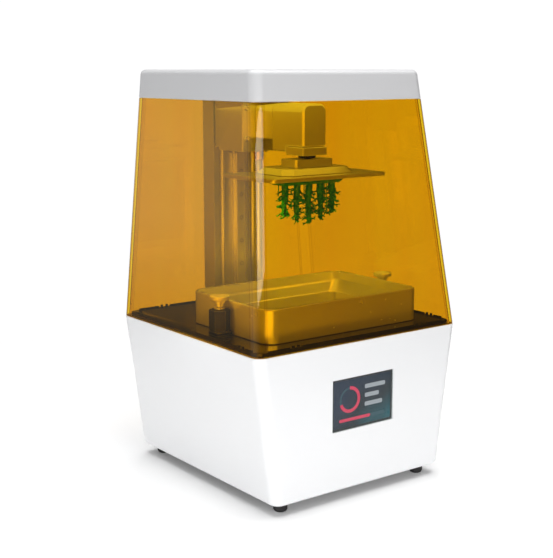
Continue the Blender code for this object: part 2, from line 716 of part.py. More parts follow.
# ---------------------------------------------------------------- carriage and arm
def carriage(travel):
    """What rides on the rail besides the arm: block, shell, inner block, nut and flag."""
    above, rail_side = (0.370, 0.385), (0.0790, 0.095)
    rider = block(
        "rail_block", centred(RAIL_BLOCK_HALF), RAIL_BLOCK_Y, RAIL_BLOCK_Z, "steel", radius=0.0008,
        segments=1, parent=travel,
    )
    cut(rider, block("rail_groove", centred(RAIL_HALF + 0.0005), (0.0800, 0.0900), (0.320, 0.372)))

    shell = block(
        "carriage_shell", centred(CARRIAGE_HALF_X), CARRIAGE_Y, CARRIAGE_Z, "aluminium",
        radius=0.0012, segments=2, parent=travel,
    )
    inside_y = (CARRIAGE_Y[0] + SHEET, 0.095)
    cut(
        shell,
        block(
            "carriage_hollow", centred(CARRIAGE_HALF_X - SHEET), inside_y,
            (0.320, CARRIAGE_Z[1] - SHEET),
        ),
        block("carriage_rail_slot", centred(0.008), rail_side, above),
        block("carriage_notch", centred(0.040), rail_side, (0.320, 0.3300)),
        rod("carriage_lead_hole", 0.0060, above, (0.0, LEAD_Y), segments=24),
    )

    core = block("carriage_block", centred(CORE_HALF_X), CORE_Y, CORE_Z, "aluminium", parent=travel)
    cut(core, rod("core_lead_hole", 0.0062, (0.320, 0.385), (0.0, LEAD_Y), segments=24))

    bore, (tip, flange, top) = LEAD_RADIUS + GAP, NUT_Z
    profile = [
        (bore, top), (NUT_FLANGE, top), (NUT_FLANGE, flange), (NUT_BODY + GAP, flange),
        (NUT_BODY, tip + 0.0012), (NUT_BODY - 0.0006, tip), (bore, tip), (bore, top),
    ]
    smooth(turned("lead_nut", profile, (0.0, LEAD_Y), "brass", parent=travel))

    flag = block("end_stop_flag", FLAG_X, FLAG_Y, FLAG_Z, "steel", parent=travel)
    foot_x = (CARRIAGE_HALF_X + GAP, FLAG_X[1] - 0.0002)
    join(
        flag,
        block("flag_foot", foot_x, (FLAG_Y[0], FLAG_Y[0] + 0.0014), FLAG_Z),
        block("flag_blade", FLAG_X, BLADE_Y, BLADE_Z),
    )
    arm(travel)


def arm(travel):
    """The arm's root and box, the clamp block under its front end, and the ball stud."""
    root_y = (ARM_Y[1] + GAP, CARRIAGE_Y[0] - GAP)
    extruded("arm_root", rounded_top(ROOT_HALF_X, ROOT_Z, ARM_RADIUS), "Y", root_y, "aluminium", travel)
    box = extruded("arm_box", rounded_top(ARM_HALF_X, ARM_Z, ARM_RADIUS), "Y", ARM_Y, "aluminium", travel)
    seat_y, seat_z = (-0.060, CLAMP_Y[1] + GAP), (0.320, CLAMP_Z[1] + GAP)
    cut(box, block("clamp_seat", centred(0.020), seat_y, seat_z))
    smooth(box)
    block(
        "arm_clamp_block", centred(ARM_HALF_X + 0.0005), CLAMP_Y, CLAMP_Z, "aluminium",
        radius=0.0008, segments=1, parent=travel,
    )
    smooth(turned("ball_stud", STUD_PROFILE, (BALL.x, BALL.y), "dark_metal", steps=24, parent=travel))


def ball_at(name, centre, radius, segments, finish=None, parent=None):
    bm = bmesh.new()
    bmesh.ops.create_uvsphere(
        bm, u_segments=segments, v_segments=segments // 2, radius=radius,
        matrix=Matrix.Translation(centre),
    )
    return object_from(name, bm, finish, parent)


def build_head(tilt_x, tilt_y):
    """Pivot ball, its two-part socket, the build plate and a sample print under it."""
    ball = smooth(ball_at("pivot_ball", BALL, BALL_RADIUS, 32, "steel", tilt_x))
    cut(ball, block("ball_flat", centred(0.02), centred(0.02, BALL.y), (BALL.z + 0.0038, 0.34)))

    housing = block(
        "ball_housing", centred(HOUSING_HALF_X), HOUSING_Y, HOUSING_Z, "aluminium",
        radius=0.0018, segments=1, parent=tilt_y,
    )
    cut(housing, ball_at("housing_socket", BALL, BALL_RADIUS + SOCKET_PLAY, 32))

    hub = object_from(
        "platform_hub", block_mesh(HUB_LOW, HUB_HIGH, HUB_Z, 0.007, 1), "aluminium", tilt_y
    )
    cut(hub, ball_at("hub_socket", BALL, BALL_RADIUS + SOCKET_PLAY, 32))
    block(
        "build_plate", centred(PLATE_HALF_X), PLATE_Y, PLATE_Z, "aluminium", radius=0.005, segments=1,
        parent=tilt_y, edge=0.0006, edge_at="top",
    )
    sample_print(tilt_y)


RAFT = ((-0.0430, 0.0440), (-0.052, -0.018), (0.3030, 0.3052))
LUMPS = (  # centre and radius of the rounded masses of the sample
    ((-0.0390, -0.0350, 0.2735), 0.0055),
    ((-0.0180, -0.0350, 0.2600), 0.0085),
    ((0.0190, -0.0350, 0.2880), 0.0085),
    ((0.0400, -0.0350, 0.2670), 0.0060),
)


def sample_print(parent):
    """A plain stand-in for a part being printed: raft, stems and rounded masses, in one piece."""
    raft = block("sample_print", *RAFT, finish="green_resin", radius=0.003, segments=2, parent=parent)
    margin = 0.003
    for i, (centre, radius) in enumerate(LUMPS):
        x = min(max(centre[0], RAFT[0][0] + margin), RAFT[0][1] - margin)
        z = (centre[2] - 0.002, RAFT[2][0] + 0.001)
        join(
            raft,
            rod(f"sample_stem_{i}", 0.0022, z, (x, centre[1]), segments=8),
            ball_at(f"sample_lump_{i}", centre, radius, 12),
        )


# ---------------------------------------------------------------- vat and its screws
EAR_X, EAR_HALF_Y = (0.0900, 0.1135), 0.0092
POCKET_X, POCKET_HALF_Y, POCKET_TOP_Z = (0.0944, 0.1000), 0.0118, 0.1850  # room for a post
UNDER_HALF, UNDER_Z = (0.0850, 0.0560), (0.15, 0.1616)  # recess for the film and its ring
FILM_HALF = (0.0840, 0.0550)
RING_WINDOW_HALF, RING_Z = (0.0812, 0.0530), (0.1595, 0.1607)


def under_vat(name, half, z, finish=None):
    return block(
        name, centred(half[0]), centred(half[1], VAT_Y), z, finish, radius=0.004, segments=2
    )


def vat():
    """Frame with a film window, the film, and the ring that clamps the film from below. Pockets in its
    sides clear the posts, and the ears reach under them."""
    frame = block(
        "vat_frame", centred(VAT_HALF[0]), centred(VAT_HALF[1], VAT_Y), VAT_Z, "aluminium",
        radius=VAT_RADIUS, segments=6, edge=0.0006, edge_at="top",
    )
    for side in (-1, 1):
        x = sorted((side * POCKET_X[0], side * POCKET_X[1]))
        cut(frame, block(f"post_pocket_{side}", x, centred(POCKET_HALF_Y, SCREW_Y), (0.15, POCKET_TOP_Z)))
        x = sorted((side * EAR_X[0], side * EAR_X[1]))
        ear = block(
            f"vat_ear_{side}", x, centred(EAR_HALF_Y, SCREW_Y), (VAT_Z[0], POST_Z[0] - GAP),
            radius=0.004, segments=2,
        )
        join(frame, ear)
        cut(frame, rod(f"ear_hole_{side}", 0.0030, (0.15, 0.17), (side * SCREW_X, SCREW_Y), segments=16))
    upper = (VAT_HALF[0] - VAT_RIM, VAT_HALF[1] - VAT_RIM)
    basin = loft_mesh(
        [
            (WINDOW_HALF, 0.0040, 0.150),
            (WINDOW_HALF, 0.0040, SLOPE_Z[0]),
            (upper, VAT_RADIUS - VAT_RIM, SLOPE_Z[1]),
            (upper, VAT_RADIUS - VAT_RIM, 0.200),
        ],
        VAT_Y,
    )
    cut(frame, object_from("vat_basin", basin, None), under_vat("vat_under", UNDER_HALF, UNDER_Z))
    smooth(frame)
    under_vat("vat_film", FILM_HALF, FILM_Z, "clear_film")
    ring = under_vat("film_clamp_ring", FILM_HALF, RING_Z, "steel")
    cut(ring, under_vat("ring_window", RING_WINDOW_HALF, (0.15, 0.17)))


def thumb_screw(side, word):
    """Hexagonal post, and the captive washer and thumb screw that rise together from it."""
    place = (side * SCREW_X, SCREW_Y)
    post = rod(f"hex_post_{word}", POST_RADIUS, POST_Z, place, "dark_metal", segments=6)
    cut(post, rod(f"post_bore_{word}", THREAD_BORE, (0.16, 0.19), place, segments=16))
    lift = pivot(f"screw_lift_{word}", (*place, 0.0))
    washer = rod(
        f"thumb_washer_{word}", WASHER_RADIUS, WASHER_Z, place, "steel", segments=24, parent=lift
    )
    cut(washer, rod(f"washer_bore_{word}", THREAD_BORE, (0.18, 0.19), place, segments=16))
    turn = pivot(f"screw_turn_{word}", (*place, 0.0))
    put_under(turn, lift)
    smooth(turned(f"thumb_screw_{word}", SCREW_PROFILE, place, "steel", parent=turn))


# ---------------------------------------------------------------- hood
def hood(lift):
    """Transparent panel, open at both ends, and the cap that closes it. They lift off together."""
    low = JOINT_Z + GAP
    panel = tapered("hood_panel", hood_section, (low, HOOD_TOP_Z), finish="amber_acrylic", parent=lift)
    cut(panel, hood_cavity("hood_cavity", (0.120, 0.395), WALL))
    smooth(panel)
    cap = tapered(
        "hood_cap", hood_section, (HOOD_TOP_Z + GAP, HEIGHT), finish="white_shell", parent=lift,
        edge=EDGE_RADIUS, edge_at="top",
    )
    cut(cap, hood_cavity("cap_cavity", (0.360, HEIGHT - WALL), WALL))
    smooth(cap)


def hood_cavity(name, z, wall):
    return tapered(name, hood_section, z, wall, CORNER_RADIUS - wall)


# ---------------------------------------------------------------- electrics in the base
def front_electrics():
    """The touch screen's window, flush in the front wall, and the display board behind it."""
    hx, hz = SCREEN_HALF
    block("screen_glass", centred(hx), (-0.1214, -0.1192), centred(hz, SCREEN_Z), "screen_glass")
    board = block(
        "display_module", centred(0.0450), (-0.1184, -0.1160), centred(0.0290, SCREEN_Z),
        "circuit_board",
    )
    join(
        board,
        block("display_cell", centred(0.0370), (-0.1189, -0.1170), centred(0.0240, SCREEN_Z)),
        block("display_plug", centred(0.0090), (-0.1170, -0.1100), (0.0700, 0.0760)),
    )


BOARD_TOP = 0.0236
BOARD_PARTS = (  # x limits, y limits and top of each component on the mainboard
    ((0.0480, 0.0620), (-0.0200, -0.0060), 0.0260),
    ((0.0700, 0.0800), (0.0080, 0.0180), 0.0255),
    ((0.0860, 0.0930), (-0.0240, 0.0100), 0.0300),
    ((0.0500, 0.0560), (0.0300, 0.0560), 0.0310),
)


def main_board():
    board = block(
        "mainboard", (0.0440, 0.0940), (-0.0300, 0.0600), (0.0220, BOARD_TOP), "circuit_board"
    )
    raised = [(x, y, (BOARD_TOP - 0.0006, top)) for x, y, top in BOARD_PARTS]
    join(board, cutter_group("board_parts", raised))


SOCKET_Z = 0.0470  # height of the inlet, the port and the switch
JACK_X, PORT_X, SWITCH_X = -0.0270, -0.0030, 0.0240
JACK_RADIUS, PORT_HALF, SWITCH_HALF = 0.0055, (0.0070, 0.0034), (0.0093, 0.0061)
SOCKET_Y = (0.1040, 0.1205)
ROCKER_TILT = math.radians(9)
ROCKER_PIVOT = Vector((SWITCH_X, 0.1140, SOCKET_Z))
ROCKER_PROFILE = (  # how high and how far out of the wall, from the pivot
    (0.0, -0.0020), (-0.0027, 0.0040), (-0.0036, 0.0058), (0.0, 0.0048), (0.0036, 0.0058),
    (0.0027, 0.0040),
)


def at_socket(x, half, grow=0.0):
    """The x and z limits of a rectangle round a socket's middle."""
    return centred(half[0] + grow, x), centred(half[1] + grow, SOCKET_Z)


def back_electrics():
    """Inlet plate behind the back wall with the power inlet, the data port and the switch."""
    plate_y, through, mouth = (0.1166, 0.1184), (0.110, 0.125), (0.1080, 0.1300)
    plate = block("inlet_plate", centred(0.0460), plate_y, (0.0300, 0.0640), "black_plastic")
    port_x, port_z = at_socket(PORT_X, PORT_HALF, GAP)
    switch_x, switch_z = at_socket(SWITCH_X, SWITCH_HALF, GAP)
    cut(
        plate,
        rod_along_y("jack_hole", JACK_RADIUS + GAP, through, JACK_X, SOCKET_Z),
        cutter_group("plate_holes", [(port_x, through, port_z), (switch_x, through, switch_z)]),
    )
    jack = rod_along_y("power_inlet", JACK_RADIUS, SOCKET_Y, JACK_X, SOCKET_Z, "black_plastic")
    cut(jack, rod_along_y("jack_bore", 0.0032, (0.1100, 0.1300), JACK_X, SOCKET_Z))

    x, z = at_socket(PORT_X, PORT_HALF)
    port = block("usb_port", x, SOCKET_Y, z, "steel")
    x, z = at_socket(PORT_X, PORT_HALF, -0.0007)
    cut(port, block("port_mouth", x, mouth, z))

    x, z = at_socket(SWITCH_X, SWITCH_HALF)
    body = block("switch_body", x, (SOCKET_Y[0], plate_y[1] + 0.0006), z, "black_plastic")
    flange_x, flange_z = at_socket(SWITCH_X, SWITCH_HALF, 0.0013)
    join(body, block("switch_flange", flange_x, (plate_y[1] + GAP, 0.1199), flange_z))
    x, z = at_socket(SWITCH_X, SWITCH_HALF, -0.0011)
    cut(body, block("switch_well", x, mouth, z))
    rocker()


def rocker():
    """The switch's key: a shallow V that tips about the pivot."""
    tilt = Matrix.Rotation(ROCKER_TILT, 3, "X")
    bm = bmesh.new()
    for x in centred(0.0075):
        corners = [ROCKER_PIVOT + tilt @ Vector((0.0, out, up)) for up, out in ROCKER_PROFILE]
        bm.faces.new([bm.verts.new(corner + Vector((x, 0.0, 0.0))) for corner in corners])
    bmesh.ops.bridge_loops(bm, edges=bm.edges[:])
    object_from("switch_rocker", bm, "black_plastic", pivot("rocker_axis", ROCKER_PIVOT))


# ---------------------------------------------------------------- assembly
def main():
    base_housing()
    bottom_plate()
    feet()
    deck_plate()
    exposure_unit()
    fan()
    z_drive(pivot("lead_screw_axis", (0.0, LEAD_Y, 0.0)))
    column()
    end_stop()

    travel = pivot("z_travel", (0.0, COLUMN_Y, 0.0))
    carriage(travel)
    tilt_x = pivot("tilt_x_axis", BALL)
    put_under(tilt_x, travel)
    tilt_y = pivot("tilt_y_axis", BALL)
    put_under(tilt_y, travel)
    build_head(tilt_x, tilt_y)

    vat()
    thumb_screw(-1, "left")
    thumb_screw(1, "right")
    hood(pivot("hood_lift", (0.0, 0.0, JOINT_Z)))
    front_electrics()
    main_board()
    back_electrics()


main()
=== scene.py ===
"""Looks of the desktop resin printer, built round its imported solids.

Metres, +X right, -Y front, +Z up, as in the frame. Places come from the frame's boxes. Sizes that the
boxes don't show, such as wall thicknesses and corner radii, are named below.
"""

import json
import math
import random

import bmesh
import bpy
import numpy as np
from mathutils import Matrix, Vector, noise
from mathutils.bvhtree import BVHTree


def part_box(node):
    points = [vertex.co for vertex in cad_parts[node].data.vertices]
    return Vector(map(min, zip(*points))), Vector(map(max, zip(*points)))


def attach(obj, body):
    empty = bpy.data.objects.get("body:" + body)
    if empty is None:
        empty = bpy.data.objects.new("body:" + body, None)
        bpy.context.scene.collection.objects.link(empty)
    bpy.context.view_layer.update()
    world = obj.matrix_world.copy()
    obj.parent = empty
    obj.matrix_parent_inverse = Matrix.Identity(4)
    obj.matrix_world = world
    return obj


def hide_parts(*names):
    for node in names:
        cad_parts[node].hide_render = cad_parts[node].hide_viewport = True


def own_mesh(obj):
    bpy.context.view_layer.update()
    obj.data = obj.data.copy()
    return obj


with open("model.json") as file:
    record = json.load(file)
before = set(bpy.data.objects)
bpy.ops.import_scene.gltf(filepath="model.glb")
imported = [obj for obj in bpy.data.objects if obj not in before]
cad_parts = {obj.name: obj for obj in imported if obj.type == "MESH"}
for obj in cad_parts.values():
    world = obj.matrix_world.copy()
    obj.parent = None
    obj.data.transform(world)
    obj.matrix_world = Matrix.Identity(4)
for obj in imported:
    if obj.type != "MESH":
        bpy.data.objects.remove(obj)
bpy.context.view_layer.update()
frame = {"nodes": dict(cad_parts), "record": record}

# ---------------------------------------------------------------- driving dimensions
CORNER_RADIUS = 0.011  # upright corners of the base, the hood and the cap
EDGE_RADIUS = 0.0052  # bottom edge of the base and top edge of the cap
WALL = 0.003
BASE_LOW_HALF_X = 0.1061  # the base is narrower at the floor
HOOD_LOW = (-0.1260, 0.1260, -0.1213, 0.1213)  # the hood's x and y limits at the joint
HOOD_HIGH = (-0.1027, 0.1027, -0.0848, 0.1202)  # and at the top of the cap
JOINT_Z = 0.1553
CORNER_STEPS = 14
VAT_RIM, VAT_RADIUS = 0.0030, 0.0130
VAT_HALF_X, EAR_HALF_Y = 0.0960, 0.0092
WINDOW_HALF = (0.0800, 0.0520)
POCKET_X, POCKET_HALF_Y, POCKET_TOP_Z = 0.0944, 0.0118, 0.1850  # the vat is hollowed beside each post
FILM_TOP_Z = 0.1616
SLOPE_Z = (0.1720, 0.1820)
LEAD_PITCH, LEAD_STARTS, LEAD_ROOT = 0.0020, 4, 0.0031

CAMERA_PLACE = (-0.7022, -0.9144, 0.4107)
CAMERA_YAW, CAMERA_PITCH = math.radians(36.99), math.radians(10.49)
CAMERA_LENS = 73.24
FLOOR_FADE = (0.42, 0.80)  # the floor turns into the white background between these distances


# ---------------------------------------------------------------- node helpers
def add(tree, kind, inputs=None, **settings):
    """A shader node. Each input is a value or a socket to link."""
    made = tree.nodes.new("ShaderNode" + kind)
    for key, value in settings.items():
        setattr(made, key, value)
    for key, value in (inputs or {}).items():
        if isinstance(value, bpy.types.NodeSocket):
            tree.links.new(value, made.inputs[key])
        else:
            made.inputs[key].default_value = value
    return made


def calc(tree, operation, *values, **settings):
    """The result of a Math node."""
    return add(tree, "Math", dict(enumerate(values)), operation=operation, **settings).outputs[0]


def mapped(tree, value, start, end, low=0.0, high=1.0, **settings):
    """Value carried from the range start to end into the range low to high."""
    inputs = {"Value": value, "From Min": start, "From Max": end, "To Min": low, "To Max": high}
    return add(tree, "MapRange", inputs, **settings).outputs["Result"]


def object_place(tree):
    return add(tree, "TexCoord").outputs["Object"]


def clouds(tree, scale, detail=2.0, stretch=(1.0, 1.0, 1.0)):
    """Noise in object space. Scale is in features per metre, before the stretch."""
    sized = tuple(scale * s for s in stretch)
    place = add(tree, "VectorMath", {0: object_place(tree), 1: sized}, operation="MULTIPLY")
    inputs = {"Vector": place.outputs[0], "Scale": 1.0, "Detail": detail}
    return add(tree, "TexNoise", inputs).outputs["Fac"]


def spread(tree, value, low, high):
    """Maps the middle of a noise to the range low to high."""
    return mapped(tree, value, 0.3, 0.7, low, high)


def blend_colours(tree, factor, a, b, **settings):
    """A mix of two colours. Each is three numbers or a socket."""
    a, b = [c if isinstance(c, bpy.types.NodeSocket) else (*c, 1.0) for c in (a, b)]
    return add(tree, "Mix", {0: factor, 6: a, 7: b}, data_type="RGBA", **settings).outputs[2]


def scaled(colour, by):
    return tuple(min(c * by, 1.0) for c in colour)


def worn_edges(tree, reach, low, high):
    """From 0 on flat ground to 1 at the sharp edges."""
    rounded = add(tree, "Bevel", {"Radius": reach}, samples=4).outputs["Normal"]
    flat = add(tree, "NewGeometry").outputs["Normal"]
    along = add(tree, "VectorMath", {0: rounded, 1: flat}, operation="DOT_PRODUCT").outputs["Value"]
    return mapped(tree, along, high, low)


def surface(name, colour, roughness, metallic=0.0, mottle=0.06, mottle_scale=30.0, patch=0.05,
            layers=(), worn=None, extra=None):
    """A Principled material with clouded colour, patchy roughness and layers of bump.

    A layer is (features per metre, stretch, distance in metres, strength). Worn is the colour that
    shows along sharp edges.
    """
    mat = bpy.data.materials.new(name)
    mat.use_nodes = True
    tree = mat.node_tree
    shader = tree.nodes["Principled BSDF"]
    shader.inputs["Metallic"].default_value = metallic
    for key, value in (extra or {}).items():
        shader.inputs[key].default_value = value
    mottled = clouds(tree, mottle_scale, 4.0)
    base = blend_colours(tree, mottled, scaled(colour, 1 - mottle), scaled(colour, 1 + mottle))
    if worn:
        base = blend_colours(tree, worn_edges(tree, 0.0007, 0.93, 0.995), base, worn)
    tree.links.new(base, shader.inputs["Base Color"])
    rough = spread(tree, clouds(tree, mottle_scale * 2.3, 3.0), roughness - patch, roughness + patch)
    tree.links.new(rough, shader.inputs["Roughness"])
    normal = None
    for scale, stretch, distance, strength in layers:
        inputs = {"Height": clouds(tree, scale, 2.0, stretch), "Distance": distance, "Strength": strength}
        if normal is not None:
            inputs["Normal"] = normal
        normal = add(tree, "Bump", inputs).outputs["Normal"]
    if normal is not None:
        tree.links.new(normal, shader.inputs["Normal"])
    return mat


# how noise is stretched: not at all, into marks along an axis, or into thin level layers
EVEN = (1.0, 1.0, 1.0)
ALONG_X, ALONG_Z = (0.02, 1.0, 1.0), (1.0, 1.0, 0.02)
LAYERED = (0.02, 0.02, 1.0)
WHITE = (1.0, 1.0, 1.0)


def clear_sheet(name, tint, deep, base_gloss, roughness, ripple):
    """Clear plastic or glass: a tinted window with gloss over it. One layer is one surface, so a sheet's
    two faces tint twice. Deep is the tint where the sheet is met edge-on."""
    mat = bpy.data.materials.new(name)
    mat.use_nodes = True
    tree = mat.node_tree
    tree.nodes.clear()
    facing = add(tree, "LayerWeight", {"Blend": 0.5}).outputs["Facing"]
    steep = calc(tree, "POWER", facing, 5.0)
    share = calc(tree, "MULTIPLY_ADD", steep, 1.0 - base_gloss, base_gloss)
    edge_on = calc(tree, "POWER", facing, 3.0)
    window = add(tree, "BsdfTransparent", {"Color": blend_colours(tree, edge_on, tint, deep)})
    wave = add(tree, "Bump", {"Height": clouds(tree, 14.0, 1.0), "Distance": ripple, "Strength": 0.6})
    shine = {"Color": (*WHITE, 1.0), "Roughness": roughness, "Normal": wave.outputs["Normal"]}
    gloss = add(tree, "BsdfAnisotropic", shine)
    both = add(tree, "MixShader", {0: share, 1: window.outputs[0], 2: gloss.outputs[0]})
    out = add(tree, "OutputMaterial", {"Surface": both.outputs[0]})
    out.is_active_output = True
    return mat


def distance_to_sides(tree, section, axis):
    """How far a point of the hood is from the nearer of its two sides along x (0) or y (2)."""
    (low_z, low), (high_z, high) = section
    parts = add(tree, "SeparateXYZ", {0: object_place(tree)})
    value = parts.outputs["X" if axis == 0 else "Y"]
    gaps = []
    for k in (axis, axis + 1):
        limit = mapped(tree, parts.outputs["Z"], low_z, high_z, low[k], high[k])
        gaps.append(calc(tree, "ABSOLUTE", calc(tree, "SUBTRACT", value, limit)))
    return calc(tree, "MINIMUM", *gaps)


def bent_hood_material():
    """The hood's tinted sheet. A faint darker line stands where each upright corner's bend begins, the
    bend is deeper in colour where it turns away, and faint upright streaks run through the panes."""
    mat = clear_sheet("amber_acrylic", (0.918, 0.760, 0.120), (0.50, 0.30, 0.01), 0.040, 0.03, 0.00015)
    tree = mat.node_tree
    section = ((JOINT_Z, HOOD_LOW), (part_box("hood_cap")[1].z, HOOD_HIGH))
    across = distance_to_sides(tree, section, 0)
    along = distance_to_sides(tree, section, 2)
    reach = calc(tree, "MAXIMUM", across, along)
    off_line = calc(tree, "ABSOLUTE", calc(tree, "SUBTRACT", reach, CORNER_RADIUS))
    line = mapped(tree, off_line, 0.0003, 0.0009, 1.0, 0.0)
    window = next(n for n in tree.nodes if n.type == "BSDF_TRANSPARENT")
    colour = window.inputs["Color"].links[0].from_socket
    part = blend_colours(tree, line, WHITE, (0.86, 0.80, 0.60))
    bend = mapped(tree, reach, 0.0055, 0.0090, 1.0, 0.0)
    facing = add(tree, "LayerWeight", {"Blend": 0.5}).outputs["Facing"]
    turned_away = calc(tree, "MULTIPLY", bend, mapped(tree, facing, 0.45, 0.80))
    thick = blend_colours(tree, turned_away, WHITE, (0.80, 0.62, 0.25))
    streaks = spread(tree, clouds(tree, 26.0, 3.0, (1.0, 1.0, 0.04)), 0.965, 1.0)
    streak = add(tree, "CombineColor", {0: 1.0, 1: streaks, 2: streaks}).outputs[0]
    for extra in (part, thick, streak):
        colour = blend_colours(tree, 1.0, colour, extra, blend_type="MULTIPLY")
    tree.links.new(colour, window.inputs["Color"])
    return mat


def board_material():
    """Solder mask with copper traces that show through as lighter lanes."""
    mat = surface("circuit_board", (0.02, 0.13, 0.05), 0.35, mottle=0.2, mottle_scale=120.0,
                  layers=[(900.0, EVEN, 0.00002, 0.4)])
    tree = mat.node_tree
    shader = tree.nodes["Principled BSDF"]
    base = shader.inputs["Base Color"].links[0].from_socket
    lanes = add(
        tree, "TexBrick",
        {"Vector": object_place(tree), "Scale": 1.0, "Mortar Size": 0.0003, "Brick Width": 0.009,
         "Row Height": 0.0016, "Color1": (0, 0, 0, 1), "Color2": (0, 0, 0, 1), "Mortar": (1, 1, 1, 1)},
    )
    traces = blend_colours(tree, lanes.outputs["Color"], base, (0.10, 0.32, 0.12))
    tree.links.new(traces, shader.inputs["Base Color"])
    return mat


def glow(name, colour, strength):
    mat = bpy.data.materials.new(name)
    mat.use_nodes = True
    shader = mat.node_tree.nodes["Principled BSDF"]
    shader.inputs["Base Color"].default_value = (0.01, 0.01, 0.01, 1.0)
    shader.inputs["Roughness"].default_value = 0.6
    shader.inputs["Emission Color"].default_value = (*colour, 1.0)
    shader.inputs["Emission Strength"].default_value = strength
    return mat


def display_material(low, high):
    """The lit background of the screen: navy, turning to teal at the lower right."""
    mat = glow("display_picture", (0.0, 0.0, 0.0), 1.0)
    tree = mat.node_tree
    shader = tree.nodes["Principled BSDF"]
    parts = add(tree, "SeparateXYZ", {0: object_place(tree)})
    across = mapped(tree, parts.outputs["X"], low.x, high.x)
    down = mapped(tree, parts.outputs["Z"], high.z, low.z)
    drift = calc(tree, "MULTIPLY_ADD", clouds(tree, 45.0, 2.0), 0.5, -0.25)
    where = calc(tree, "ADD", calc(tree, "MULTIPLY", across, down), drift, use_clamp=True)
    ramp = add(tree, "ValToRGB", {0: where})
    stops = ramp.color_ramp.elements
    stops[0].position, stops[0].color = 0.0, (0.010, 0.022, 0.050, 1.0)
    stops[1].position, stops[1].color = 1.0, (0.006, 0.120, 0.150, 1.0)
    middle = stops.new(0.30)
    middle.color = (0.008, 0.015, 0.022, 1.0)
    tree.links.new(ramp.outputs["Color"], shader.inputs["Emission Color"])
    return mat


MOULDED = [(2200.0, EVEN, 0.000004, 0.2)]
SILVER = (0.93, 0.93, 0.94)
SURFACES = {
    "white_shell": dict(
        colour=(0.89, 0.895, 0.905), roughness=0.34, mottle=0.006, patch=0.015, layers=MOULDED),
    # the cap is the same white plastic as the base; its colour is set darker grey as painted shade on the
    # cap
    "white_cap": dict(
        colour=(0.69, 0.69, 0.70), roughness=0.32, mottle=0.006, patch=0.015, layers=MOULDED),
    "deck_black": dict(
        colour=(0.016, 0.014, 0.013), roughness=0.11, mottle=0.15, patch=0.035, mottle_scale=60.0,
        layers=[(60.0, EVEN, 0.00001, 0.15)], extra={"Coat Weight": 0.5, "Coat Roughness": 0.04}),
    "black_plastic": dict(
        colour=(0.024, 0.024, 0.026), roughness=0.48, mottle=0.2, layers=[(2600.0, EVEN, 0.00005, 0.5)],
        worn=(0.07, 0.07, 0.07)),
    "black_rubber": dict(
        colour=(0.022, 0.021, 0.021), roughness=0.82, mottle=0.25, mottle_scale=90.0,
        layers=[(1700.0, EVEN, 0.0002, 0.6)]),
    "cast_aluminium": dict(
        colour=SILVER, roughness=0.27, metallic=0.62, mottle=0.01, patch=0.004,
        layers=[(500.0, EVEN, 0.000001, 0.2)]),
    "brushed_aluminium": dict(
        colour=SILVER, roughness=0.28, metallic=0.62, mottle=0.015, patch=0.006,
        layers=[(1200.0, ALONG_X, 0.0000015, 0.25)]),
    "extruded_aluminium": dict(
        colour=(0.78, 0.78, 0.81), roughness=0.28, metallic=0.7, mottle=0.015, patch=0.006,
        layers=[(1100.0, ALONG_Z, 0.0000015, 0.25)]),
    "polished_steel": dict(
        colour=(0.86, 0.86, 0.87), roughness=0.24, metallic=0.6, mottle=0.02, patch=0.015,
        layers=[(1200.0, EVEN, 0.000003, 0.2)]),
    "plain_steel": dict(
        colour=(0.66, 0.66, 0.68), roughness=0.34, metallic=0.8, mottle=0.05, mottle_scale=140.0,
        patch=0.05, layers=[(900.0, EVEN, 0.00001, 0.3)]),
    "dark_metal": dict(
        colour=(0.040, 0.040, 0.044), roughness=0.38, metallic=0.85, mottle=0.12,
        layers=[(1900.0, EVEN, 0.00003, 0.4)], worn=(0.35, 0.35, 0.36)),
    "motor_black": dict(
        colour=(0.03, 0.03, 0.034), roughness=0.42, metallic=0.4, mottle=0.15,
        layers=[(1400.0, LAYERED, 0.00005, 0.6)]),
    "brass": dict(
        colour=(0.74, 0.53, 0.24), roughness=0.26, metallic=1.0, mottle=0.08,
        layers=[(1600.0, LAYERED, 0.00003, 0.5)]),
    "exposure_glass": dict(
        colour=(0.014, 0.014, 0.020), roughness=0.09, mottle=0.2, patch=0.03,
        extra={"Coat Weight": 0.8, "Coat Roughness": 0.03}),
    "green_resin": dict(
        colour=(0.008, 0.27, 0.015), roughness=0.34, mottle=0.25, mottle_scale=260.0, patch=0.08,
        layers=[(1500.0, EVEN, 0.0002, 0.5), (3000.0, LAYERED, 0.00006, 0.5)],
        extra={"Subsurface Weight": 0.25, "Subsurface Scale": 0.002, "Subsurface Radius": (0.3, 1.0, 0.2)}),
}


def make_materials():
    """One material for each of the record's slots."""
    made = {slot: surface(slot, **settings) for slot, settings in SURFACES.items()}
    made["amber_acrylic"] = bent_hood_material()
    made["circuit_board"] = board_material()
    made["display_glass"] = clear_sheet(
        "display_glass", (0.93, 0.95, 0.95), (0.86, 0.90, 0.90), 0.012, 0.03, 0.0001
    )
    made["clear_film"] = clear_sheet(
        "clear_film", (0.95, 0.95, 0.93), (0.90, 0.90, 0.88), 0.05, 0.05, 0.0008
    )
    return made


FINISH = make_materials()
SLOT_OF = {row["node"]: row["material_slot"] for row in frame["record"]["subparts"]}
BODY_OF = {node: body for body, nodes in frame["record"]["behaviour"]["bodies"].items() for node in nodes}


def linked(name, data):
    """An object in the scene for a mesh, a light or the camera."""
    obj = bpy.data.objects.new(name, data)
    bpy.context.scene.collection.objects.link(obj)
    return obj


def middle_of(node):
    """The middle of a node's box, seen from above."""
    low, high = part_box(node)
    return (low.x + high.x) / 2, (low.y + high.y) / 2


def paint_nodes():
    for name, obj in frame["nodes"].items():
        obj.data.materials.clear()
        obj.data.materials.append(FINISH[SLOT_OF[name]])


